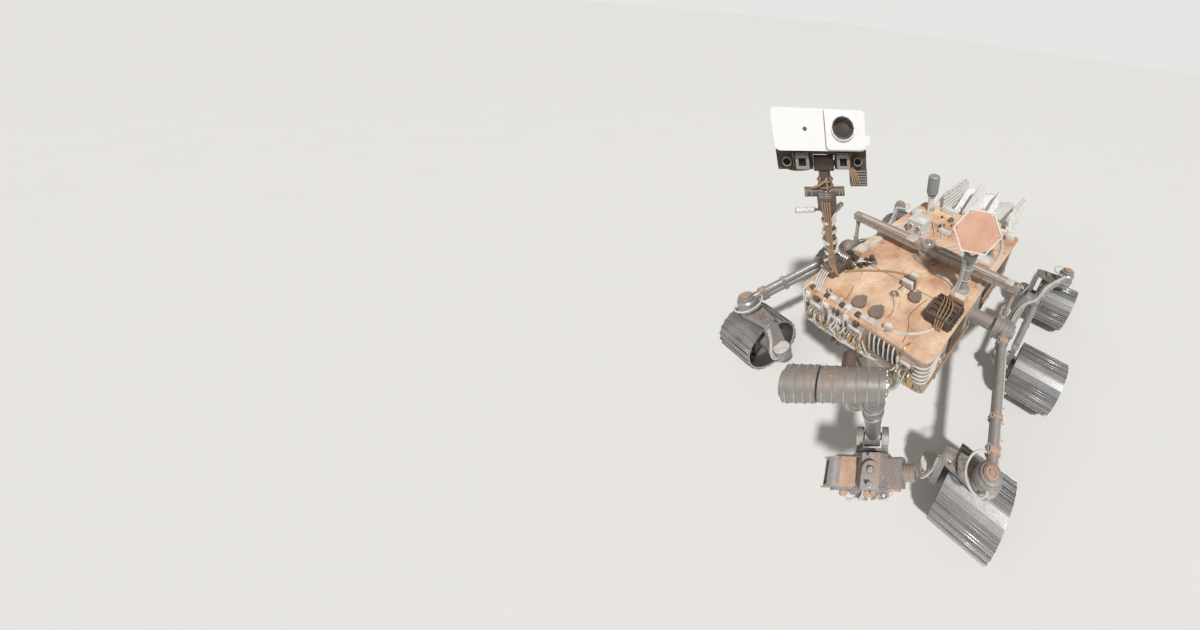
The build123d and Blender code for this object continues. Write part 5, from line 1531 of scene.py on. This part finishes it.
back += bolts((0.0, 0.052, 0.0), PORT, 0.012, 3, 0.0035)
settle(back, "antenna_back_ribs", bolt_metal, "antenna_tilt", HGA_TILT)
gimbal = hoops(ORIGIN, UP, (0.01, 0.022, 0.034), 0.0445, 0.0028, 36)
gimbal += hoops((0, 0, 0.1), PORT, (-0.022, 0.0, 0.022), 0.0285, 0.0028, 30)
gimbal += bolts((0, 0, 0.042), UP, 0.035, 8, 0.0036)
gimbal.append(plug((0, 0, 0.06), AHEAD, -0.02, -0.062, 0.019, ((0.004, 0.005), (0.004, -0.003)), 24))
gimbal += [
    strand([(-0.05, 0.01, 0.045), (-0.07, 0.03, 0.02), (-0.055, 0.045, 0.0), (-0.04, 0.03, 0.012)], 0.005)
]
settle(gimbal, "antenna_gimbal", dark_box, "antenna_pan", HGA_PAN)
post = hoops(ORIGIN, UP, (1.14, 1.2, 1.28, 1.36), 0.0368, 0.0028, 36)
post += bolts(UP * (DECK_TOP + 0.014), UP, 0.053, 8, 0.0046)
post += bolts(UP * 1.402, -UP, 0.042, 8, 0.003)
settle(post, "antenna_post_fittings", bolt_metal, place=AT_HGA)
climb = []
for n in range(3):
    angle = math.radians(-40 + 16 * n)
    points = [Vector((0.09, -0.05 + 0.012 * n, DECK_TOP + 0.006))]
    for z, far in ((1.13, 0.062), (1.19, 0.042), (1.28, 0.0415), (1.36, 0.042), (1.41, 0.053)):
        points.append(around(UP * z, far, angle))
    climb.append(strand(points, 0.005))
climb += hoops(ORIGIN, UP, (1.22, 1.32), 0.0445, 0.003, 36)
settle(climb, "antenna_post_leads", white_tape, place=AT_HGA)

# Short-wave aerials: a ribbed grey drum with wound elements on a white post, and a small one to
# port, both bolted to the deck.
AT_UHF = ON_DECK @ Matrix.Translation((-0.64, -0.42, 0))
wound = []
for k in range(4):
    points = [around(UP * (0.2 + 0.158 * n / 18), 0.0585, math.radians(90 * k + n * 20)) for n in range(19)]
    wound.append(strand(points, 0.0036))
wound += hoops(ORIGIN, UP, (0.197, 0.362), 0.0588, 0.0026, 48)
for n in range(24):
    spot = around(ORIGIN, 0.0585, math.radians(15 * n))
    wound.append(
        block(spot + Vector((-0.0012, -0.0012, 0.205)), spot + Vector((0.0012, 0.0012, 0.355)), 0.0005, 1)
    )
settle(wound, "uhf_windings", aerial_paint, place=AT_UHF)
stem = [plug(ORIGIN, UP, 0.022, 0.15, 0.0318, ((0.002, 0.004),), 32)]
stem += hoops(ORIGIN, UP, (0.05, 0.09, 0.13), 0.0325, 0.0026, 36)
stem += bolts(UP * 0.012, UP, 0.043, 8, 0.0042)
stem += [
    strand(
        [
            (0.09, 0.02, 0.007), (0.06, 0.01, 0.02), (0.036, 0.0, 0.06), (0.036, 0.004, 0.12),
            (0.05, 0.01, 0.165),
        ],
        0.005,
    )
]
settle(stem, "uhf_post_sleeve", white_box, place=AT_UHF)
AT_LOW = ON_DECK @ Matrix.Translation((-0.28, 0.42, 0))
low = hoops(ORIGIN, UP, (0.1, 0.112, 0.124), 0.0345, 0.0022, 36)
low += bolts(UP * 0.01, UP, 0.031, 6, 0.0038)
low.append(plug(ORIGIN, UP, 0.149, 0.154, 0.016, ((0.004, 0.003), (0.003, -0.003)), 24))
settle(low, "low_gain_fittings", white_box, place=AT_LOW)

# Sample inlets: turned funnels screwed into the deck under hinged lids. The lifting fittings, small
# steel posts with rings, are bolted beside them.
fitting_metal = dusty(
    "fitting_metal", (0.3, 0.27, 0.25), cover=0.1, metallic=0.4, rough=(0.38, 0.78), cloud_scale=12.0
)
dress(fitting_metal, "inlet_", "lift_")
for name, x, y, radius in (
    ("front", 0.88, 0.06, 0.052), ("middle", 0.88, -0.09, 0.052), ("port", 0.6, 0.19, 0.046)
):
    top = DECK_TOP + 0.0283 + 0.013
    lid = [hoop((x, y, top - 0.0035), UP, radius * 0.82, 0.0024, 36)]
    lid += bolts((x, y, top), UP, radius * 0.42, 6, 0.003)
    lid += [plug((x, y, top), UP, -0.001, 0.004, radius * 0.24, ((0.003, 0.003), (0.003, -0.002)), 24)]
    for n in range(12):
        spoke = [
            around((x, y, top - 0.0042), radius * far, math.radians(30 * n)) for far in (0.66, 0.8, 0.93)
        ]
        lid.append(strand(spoke, 0.0016, 2))
    settle(lid, f"inlet_lid_ribs_{name}", fitting_metal, f"inlet_cover_{name}_body")
    seat = []
    for n in range(8):
        seat += bolt(around((x, y, DECK_TOP), radius + 0.009, math.radians(45 * n + 22)), UP, 0.0036)
    settle(seat, f"inlet_screws_{name}", bolt_metal)
rings = []
for x, y in ((0.47, -0.3), (-0.56, 0.26), (-0.56, -0.12)):
    rings += [
        hoop((x, y, DECK_TOP + 0.04), UP, 0.019, 0.0028, 32),
        hoop((x, y, DECK_TOP + 0.025), UP, 0.0262, 0.002, 32),
    ]
    rings += bolts((x, y, DECK_TOP + 0.003), UP, 0.0325, 6, 0.003)
settle(rings, "lift_fitting_rings", bolt_metal)

# Robot arm: titanium tubes between five geared actuators, painted grey, with its flat leads in white
# tape clipped along each link and bolts round every housing.
arm_paint = dusty("arm_paint", (0.3, 0.285, 0.27), rough=(0.38, 0.8), metallic=0.25, worn=(0.55, 0.53, 0.5))
dress(arm_paint, "arm_shoulder", "arm_upper", "arm_forearm", "arm_wrist")
ARM_TURN = math.radians(35)
UPPER_LIFT = math.radians(60)
FORE_LIFT = math.radians(-97)
WRIST_LIFT = math.radians(12)
UPPER_LENGTH = 0.83
FORE_LENGTH = 0.67
ARM = Matrix.Translation((1.24, 0.2, 0)) @ Matrix.Rotation(ARM_TURN, 4, "Z")
SHOULDER = UP * 0.9
ELBOW = SHOULDER + Vector((math.cos(UPPER_LIFT), 0, math.sin(UPPER_LIFT))) * UPPER_LENGTH
WRIST = ELBOW + Vector((math.cos(FORE_LIFT), 0, math.sin(FORE_LIFT))) * FORE_LENGTH
UPPER_V = -0.135
FORE_V = 0.12
cuff = hoops(ORIGIN, UP, (0.779, 0.793), 0.0745, 0.0028, 48)
cuff += hoops(ORIGIN, UP, (0.66, 0.72, 0.745), 0.0685, 0.0028, 48)
settle(cuff, "arm_azimuth_bands", bright_metal, place=ARM)
plate = []
for y in (0.105, 0.15, 0.25, 0.295):
    plate += screw_row((1.016, y, 0.67), (1.016, y, 0.775), AHEAD, 4, 0.006)
settle(plate, "arm_foot_bolts", bolt_metal)
base = bolts((0, 0, 0.824), UP, 0.0635, 12, 0.0038)
base += bolts(SHOULDER + PORT * 0.075, PORT, 0.042, 10, 0.0045)
base += bolts(SHOULDER + PORT * 0.062, PORT, 0.061, 14, 0.004)
base += hoops(SHOULDER, PORT, (-0.05, -0.02, 0.01, 0.04), 0.0705, 0.003, 48)
base += [plug(SHOULDER, PORT, 0.074, 0.08, 0.028, ((0.006, 0.003), (0.006, -0.004)), 32)]
settle(base, "shoulder_fittings", bolt_metal, "arm_pan", ARM)


def link_fittings(start, end, v, radius, clamps):
    """Clips and two taped leads along a link, on its forward side."""
    along = (end - start).normalized()
    out = Vector((along.z, 0, -along.x))
    run = [start + along * (end - start).length * share for share in (0.14, 0.25, 0.42, 0.6, 0.78, 0.88)]
    made = []
    for n in range(3):
        sway = [dice.uniform(-0.003, 0.003) for _ in run]
        line = [p + out * (radius + 0.006) + PORT * (v - 0.014 + 0.014 * n + d) for p, d in zip(run, sway)]
        made.append(strand(line, 0.0056))
    bands = [
        hoop(start + (end - start) * share + PORT * v, along, radius + 0.003, 0.0032, 40)
        for share in clamps
    ]
    return made, bands


leads, bands = link_fittings(SHOULDER, ELBOW, UPPER_V, 0.048, (0.3, 0.5, 0.7))
bend = ((0.1, 0.03, 0.1), (0.1, 0.075, 0.05), (0.085, 0.04, -0.01), (0.075, 0, 0.02))
leads.append(strand([SHOULDER + PORT * UPPER_V + Vector(p) for p in bend], 0.006))
settle(leads, "upper_link_leads", white_tape, "arm_lift", ARM)
bands += bolts(SHOULDER + PORT * (UPPER_V - 0.055), -PORT, 0.059, 14, 0.0045)
bands += [
    plug(
        SHOULDER, PORT, UPPER_V - 0.054, UPPER_V - 0.066, 0.048, ((0.01, 0.004), (0.01, -0.005)), 40
    )
]
bands += hoops(SHOULDER + PORT * UPPER_V, PORT, (-0.035, 0.0, 0.035), 0.0705, 0.003, 48)
bands += bolts(ELBOW + PORT * (UPPER_V - 0.068), -PORT, 0.037, 8, 0.0042)
bands += bolts(ELBOW + PORT * (UPPER_V - 0.055), -PORT, 0.056, 14, 0.0038)
bands += hoops(ELBOW + PORT * UPPER_V, PORT, (-0.04, -0.01, 0.02, 0.045), 0.0645, 0.003, 48)
settle(bands, "upper_link_fittings", bright_metal, "arm_lift", ARM)
leads, bands = link_fittings(ELBOW, WRIST, FORE_V, 0.042, (0.28, 0.42))
settle(leads[:2], "forearm_leads", white_tape, "arm_elbow", ARM)
bpy.data.objects.remove(leads[2])
bands += hoops(ELBOW, PORT, (-0.055, -0.02, 0.02, 0.06, 0.1, 0.14), 0.0625, 0.003, 48)
bands += bolts(ELBOW + PORT * 0.165, PORT, 0.05, 14, 0.0042)
bands.append(plug(ELBOW, PORT, 0.164, 0.172, 0.036, ((0.008, 0.004), (0.008, -0.005)), 40))
bands += hoops(WRIST + PORT * FORE_V, PORT, (-0.025, 0.0, 0.025), 0.0465, 0.0025, 40)
settle(bands, "forearm_fittings", bright_metal, "arm_elbow", ARM)
motor = [
    drum(
        ELBOW + Vector((-0.055, 0.02, 0.01)), ELBOW + Vector((-0.115, 0.02, 0.02)), 0.026,
        ((0.005, 0.006), (0.004, -0.004)), 28,
    )
]
motor += [
    strand(
        [
            ELBOW + Vector(p)
            for p in ((-0.12, 0.02, 0.03), (-0.135, 0.04, 0.0), (-0.1, 0.07, -0.05), (-0.06, 0.085, -0.11))
        ],
        0.005,
    )
]
settle(motor, "elbow_motor", dark_box, "arm_elbow", ARM)
AT_WRIST = ARM @ Matrix.Translation((WRIST.x, FORE_V, WRIST.z)) @ Matrix.Rotation(WRIST_LIFT, 4, "Y")
cheeks = []
for side in BOTH:
    outer = side * 0.0815
    cheeks += bolts((0, outer, 0), (0, side, 0), 0.034, 8, 0.0036)
    cheeks.append(hoop((0, outer, 0), PORT, 0.024, 0.003, 32))
    cheeks += bolts((0.052, outer, 0), (0, side, 0), 0.022, 4, 0.0042, 45)
cheeks += bolts((0.062, 0, 0), -AHEAD, 0.071, 12, 0.0042, 15)
settle(cheeks, "wrist_fittings", bolt_metal, "arm_wrist_body", AT_WRIST)

# Turret: five tools bolted round one drum. The drill's feed and prongs are steel, the sample
# chamber is tan anodised, and short leads loop from each tool into the hub.
turret_paint = dusty(
    "turret_paint", (0.33, 0.335, 0.345), rough=(0.36, 0.8), metallic=0.3, worn=(0.6, 0.59, 0.57)
)
dress(turret_paint, "turret")
TOOLS = (0, 72, 144, 216, 288)
hub = bolts((0.254, 0, 0), AHEAD, 0.05, 10, 0.0045)
hub.append(plug(ORIGIN, AHEAD, 0.253, 0.259, 0.036, ((0.006, 0.004), (0.006, -0.005)), 40))
hub += bolts((0.24, 0, 0), AHEAD, 0.078, 15, 0.0042, 12)
hub += hoops(ORIGIN, AHEAD, (0.1, 0.22), 0.1025, 0.0025, 56)
settle(hub, "turret_hub_fittings", bolt_metal, "arm_turret", AT_WRIST)


def on_tool(parts, angle):
    """Parts made for the tool that points up, turned to their own tool's place."""
    turn = Matrix.Rotation(math.radians(angle), 4, "X")
    for part in parts:
        part.data.transform(turn)
    return parts


tools = []
drill = [block((0.0955, x0, 0.075), (0.2325, x0 + 0.004, 0.185), 0.0015) for x0 in (-0.0415, 0.0375)]
for x in (0.106, 0.222):
    drill += screw_row((x, -0.0415, 0.085), (x, -0.0415, 0.178), -PORT, 5)
drill += hoops((0.164, 0, 0), UP, (0.2, 0.212, 0.224), 0.0345, 0.0026, 36)
drill.append(plug((0, 0, 0.11), AHEAD, 0.232, 0.25, 0.028, ((0.005, 0.006), (0.005, -0.004)), 32))
drill.append(plug((0, 0.018, 0.165), AHEAD, 0.232, 0.246, 0.013, ((0.003, 0.004),), 20))
tools += on_tool(drill, 0)
chamber = [block((0.1, y, 0.09), (0.216, y + 0.004, 0.165), 0.0015) for y in (-0.0595, 0.0555)]
chamber += screw_row((0.11, -0.0595, 0.1), (0.11, -0.0595, 0.155), -PORT, 3)
chamber += [hoop((x, 0, 0.178), AHEAD, 0.0525, 0.002, 48) for x in (0.102, 0.214)]
chamber.append(plug((0, -0.02, 0.12), AHEAD, 0.226, 0.242, 0.02, ((0.004, 0.005), (0.004, -0.003)), 28))
tools += on_tool(chamber, 72)
brush = hoops((0.156, 0, 0), UP, (0.158, 0.17), 0.0245, 0.0025, 32)
brush += screw_row((0.114, -0.04, 0.075), (0.114, -0.04, 0.138), -PORT, 4)
brush += screw_row((0.2, 0.04, 0.075), (0.2, 0.04, 0.138), PORT, 4)
tools += on_tool(brush, 144)
sensor = hoops((0.16, 0, 0), UP, (0.115, 0.13, 0.185), 0.0445, 0.0026, 40)
sensor += bolts((0.16, 0, 0.172), UP, 0.049, 10, 0.003)
sensor.append(hoop((0.16, 0, 0.238), UP, 0.029, 0.003, 36))
tools += on_tool(sensor, 216)
lens = hoops((0.162, 0, 0), UP, (0.178, 0.19, 0.214), 0.0365, 0.0022, 40)
lens += bolts((0.162, 0.046, 0.2), PORT, 0.024, 6, 0.003)
lens.append(block((0.223, -0.03, 0.08), (0.234, 0.03, 0.15), 0.003))
tools += on_tool(lens, 288)
settle(tools, "turret_tool_fittings", peach_metal, "arm_turret", AT_WRIST)
steel = hoops((0.164, 0, 0), UP, (0.248, 0.253, 0.258, 0.263), 0.0085, 0.0016, 20)
for x in (0.112, 0.216):
    steel += [
        plug((x, 0, 0), UP, 0.15, 0.158, 0.013, ((0.002, 0.003),), 20),
        hoop((x, 0, 0.24), UP, 0.0095, 0.002, 20),
    ]
steel = on_tool(steel, 0)
bristles = []
for n in range(26):
    angle = n * 2.4
    far = 0.03 * math.sqrt((n + 0.5) / 26)
    foot = around((0.156, 0, 0.213), far, angle)
    bristles.append(drum(foot, around(foot + UP * 0.014, 0.1 * far, angle), 0.0016, (), 6, 0.0003))
steel += on_tool(bristles, 144)
settle(steel, "turret_bit_and_brush", bolt_metal, "arm_turret", AT_WRIST)
pane = on_tool(
    [plug((0.162, 0, 0), UP, 0.2145, 0.2175, 0.0245, ((0.004, -0.002), (0.004, 0.002)), 32)], 288
)
settle(pane, "turret_lens_glass", glass, "arm_turret", AT_WRIST)
loops = []
for angle in TOOLS:
    for n in range(2):
        swing = math.radians(angle + 24 + 10 * n)
        next_swing = math.radians(angle + 6 + 6 * n)
        points = []
        bend = [(swing, 0.06, 0.245), (swing, 0.074, 0.262), (swing - 0.1, 0.105, 0.262)]
        bend += [(next_swing, 0.125, 0.245), (next_swing, 0.128, 0.228)]
        for turn, far, x in bend:
            points.append((x + 0.004 * n, -math.sin(turn) * far, math.cos(turn) * far))
        loops.append(strand(points, 0.0046))
settle(loops, "turret_leads", white_tape, "arm_turret", AT_WRIST)

# Generator: a finned drum painted white, held on a bolted collar between two panels. White tubes run
# over the panels and carry coolant to the box.
generator_paint = dusty("generator_paint", (0.83, 0.82, 0.79), cover=-0.2, rough=(0.45, 0.8))
dress(generator_paint, "generator", "heat_")
CORE_TILT = math.radians(118)
CORE = Matrix.Translation((-1.18, 0, 0.93)) @ Matrix.Rotation(CORE_TILT, 4, "Y")
fins = []
for n in range(8):
    turn = Matrix.Rotation(math.radians(45 * (n + 0.5)), 4, "Z")
    for z in (-0.24, -0.12, 0.0, 0.12, 0.24):
        gusset = block((0.105, -0.012, z - 0.004), (0.165, 0.012, z + 0.004), 0.002)
        gusset.data.transform(turn)
        fins.append(gusset)
    lip = block((0.312, -0.01, -0.222), (0.3215, 0.01, 0.222), 0.003)
    lip.data.transform(turn)
    fins.append(lip)
fins += hoops(ORIGIN, UP, (-0.27, 0.27), 0.1205, 0.004, 64)
fins += bolts((0, 0, -0.31), -UP, 0.07, 12, 0.007)
fins += bolts((0, 0, 0.31), UP, 0.07, 12, 0.007)
fins.append(plug(ORIGIN, UP, -0.309, -0.318, 0.045, ((0.01, 0.006), (0.01, -0.008)), 40))
settle(fins, "generator_gussets", generator_paint, place=CORE)
TUBE_BEND = (
    # x, rise
    (-0.82, 0.0),
    (-1.0, 0.003),
    (-1.3, -0.002),
    (-1.45, 0.0),
    (-1.472, 0.024),
    (-1.472, 0.026),
    (-1.45, 0.049),
    (-1.3, 0.05),
    (-1.0, 0.048),
    (-0.82, 0.049),
)
pipes = []
for side in (1, -1):
    for face in (side * 0.378, side * 0.348):
        for n in range(5):
            z0 = 0.74 + n * 0.098
            pipes.append(strand([(x, face, z0 + rise) for x, rise in TUBE_BEND], 0.0055, 3))
    for n in range(3):
        points = [(-0.8, side * 0.345, 0.8 + n * 0.11), (-0.775, side * 0.31, 0.81 + n * 0.1)]
        points += [(-0.755, side * 0.27, 0.84 + n * 0.07), (-0.748, side * 0.2, 0.87 + n * 0.05)]
        pipes.append(strand(points, 0.009))
settle(pipes, "exchanger_tubes", white_box)
studs = []
for side in (1, -1):
    face = side * 0.374
    for z in (0.725, 0.835, 0.945, 1.055, 1.165, 1.195):
        studs += screw_row((-0.81, face, z), (-1.4, face, z), (0, side, 0), 9, 0.005)
    studs.append(block((-0.796, side * 0.346, 0.705), (-0.786, side * 0.38, 1.205), 0.002))
settle(studs, "exchanger_screws", bolt_metal)
spikes = []
for side in (1, -1):
    for n in range(7):
        x = -0.86 - n * 0.085
        spikes.append(block((x - 0.012, side * 0.343, 1.2), (x + 0.012, side * 0.383, 1.222), 0.004))
    line = [
        (-0.8, side * 0.363, 1.224), (-0.95, side * 0.358, 1.232), (-1.15, side * 0.368, 1.228),
        (-1.4, side * 0.36, 1.232),
    ]
    spikes.append(strand(line, 0.008))
collar = [
    hoop((-0.775, 0, 0.87), AHEAD, 0.0725, 0.006, 48, 8),
    hoop((-0.8, 0, 0.87), AHEAD, 0.0715, 0.004, 48, 8),
]
collar += bolts((-0.751, 0, 0.87), -AHEAD, 0.086, 12, 0.006)
settle(spikes + collar, "exchanger_clips_and_collar", white_tape)
lines = []
for n in range(6):
    y = -0.26 + n * 0.104
    rise = 0.03 + 0.03 * (n % 3)
    points = [
        (-0.66, y * 0.9, DECK_TOP + 0.008), (-0.735, y * 0.95, DECK_TOP + 0.02), (-0.8, y, DECK_TOP + rise)
    ]
    points += [
        (-0.88, y * 1.02, DECK_TOP + rise * 0.6), (-0.93, y * 1.05, 1.05), (-0.9, y, 0.98),
        (-0.8, y * 0.8, 0.93),
    ]
    points.append((-0.748, y * 0.7, 0.92))
    lines.append(strand(points, 0.01 if n % 2 else 0.0075))
    lines.append(hoop((-0.735, y * 0.95, DECK_TOP + 0.018), (1, 0, 0.2), 0.0125, 0.003, 20))
for side in BOTH:
    points = [
        (-0.742, side * 0.44, 1.02), (-0.78, side * 0.43, 1.1), (-0.84, side * 0.38, 1.205),
        (-0.95, side * 0.363, 1.236), (-1.25, side * 0.363, 1.238),
    ]
    lines.append(strand(points, 0.011))
    for n in range(4):
        x = -0.9 - 0.13 * n
        y = side * 0.363
        lines.append(block((x - 0.018, y - 0.012, 1.206), (x + 0.018, y + 0.012, 1.246), 0.004))
settle(lines, "coolant_lines", white_box)

# Aft deck: lidded boxes painted white, dark connectors and taped leads, screwed or tied to the deck.
# They serve the aerials and the generator.
aft = []
for x0, x1, y0, y1, high in (
    (-0.735, -0.68, -0.3, -0.12, 0.055),
    (-0.735, -0.69, 0.12, 0.4, 0.045),
    (-0.46, -0.38, -0.49, -0.4, 0.075),
    (-0.44, -0.36, 0.3, 0.42, 0.045),
    (-0.33, -0.29, -0.12, 0.0, 0.05),
    (-0.08, -0.02, -0.2, -0.1, 0.04),
    (-0.07, 0.04, 0.24, 0.4, 0.085),
    (-0.7, -0.62, 0.44, 0.51, 0.065),
):
    aft.append(block((x0, y0, -0.001), (x1, y1, high), 0.004))
    aft.append(block((x0 + 0.008, y0 + 0.008, high - 0.001), (x1 - 0.008, y1 - 0.008, high + 0.004), 0.002))
    for x in (x0 + 0.006, x1 - 0.006):
        aft += screw_row((x, y0 + 0.006, high), (x, y1 - 0.006, high), UP, 4, 0.003)
settle(aft, "aft_deck_boxes", white_box, place=ON_DECK)
stubs = []
for n in range(9):
    x = -0.3 - 0.045 * n
    y = 0.25 * math.sin(n * 1.9)
    if (x + 0.56) ** 2 + (y - 0.06) ** 2 < 0.03 or abs(x + 0.19) < 0.1 and y < -0.18:
        continue
    stubs.append(
        plug((x, y, 0), UP, -0.001, 0.016 + 0.006 * (n % 3), 0.013, ((0.003, 0.005), (0.003, -0.004)), 20)
    )
for y in (-0.33, -0.25, 0.36):
    stubs.append(plug((0.03, y, 0), UP, -0.001, 0.03, 0.016, ((0.004, 0.008), (0.003, -0.004)), 24))
settle(stubs, "deck_dark_connectors", dark_box, place=ON_DECK)
aft_leads = []
for n in range(7):
    y = -0.36 + 0.11 * n
    if abs(y * 0.5 + 0.06 + 0.28) < 0.12:
        continue
    points = [(-0.04 - 0.01 * n, y * 0.6 - 0.02, 0.006), (-0.14, y * 0.5 + 0.06, 0.016)]
    points += [(-0.26, y * 0.7 + 0.05, 0.008), (-0.36, y * 0.9, 0.018), (-0.45, y - 0.01, 0.008)]
    aft_leads.append(strand(points, 0.005 + 0.0008 * (n % 3)))
settle(aft_leads, "aft_deck_leads", white_tape, place=ON_DECK)

bpy.ops.object.select_all(action="DESELECT")
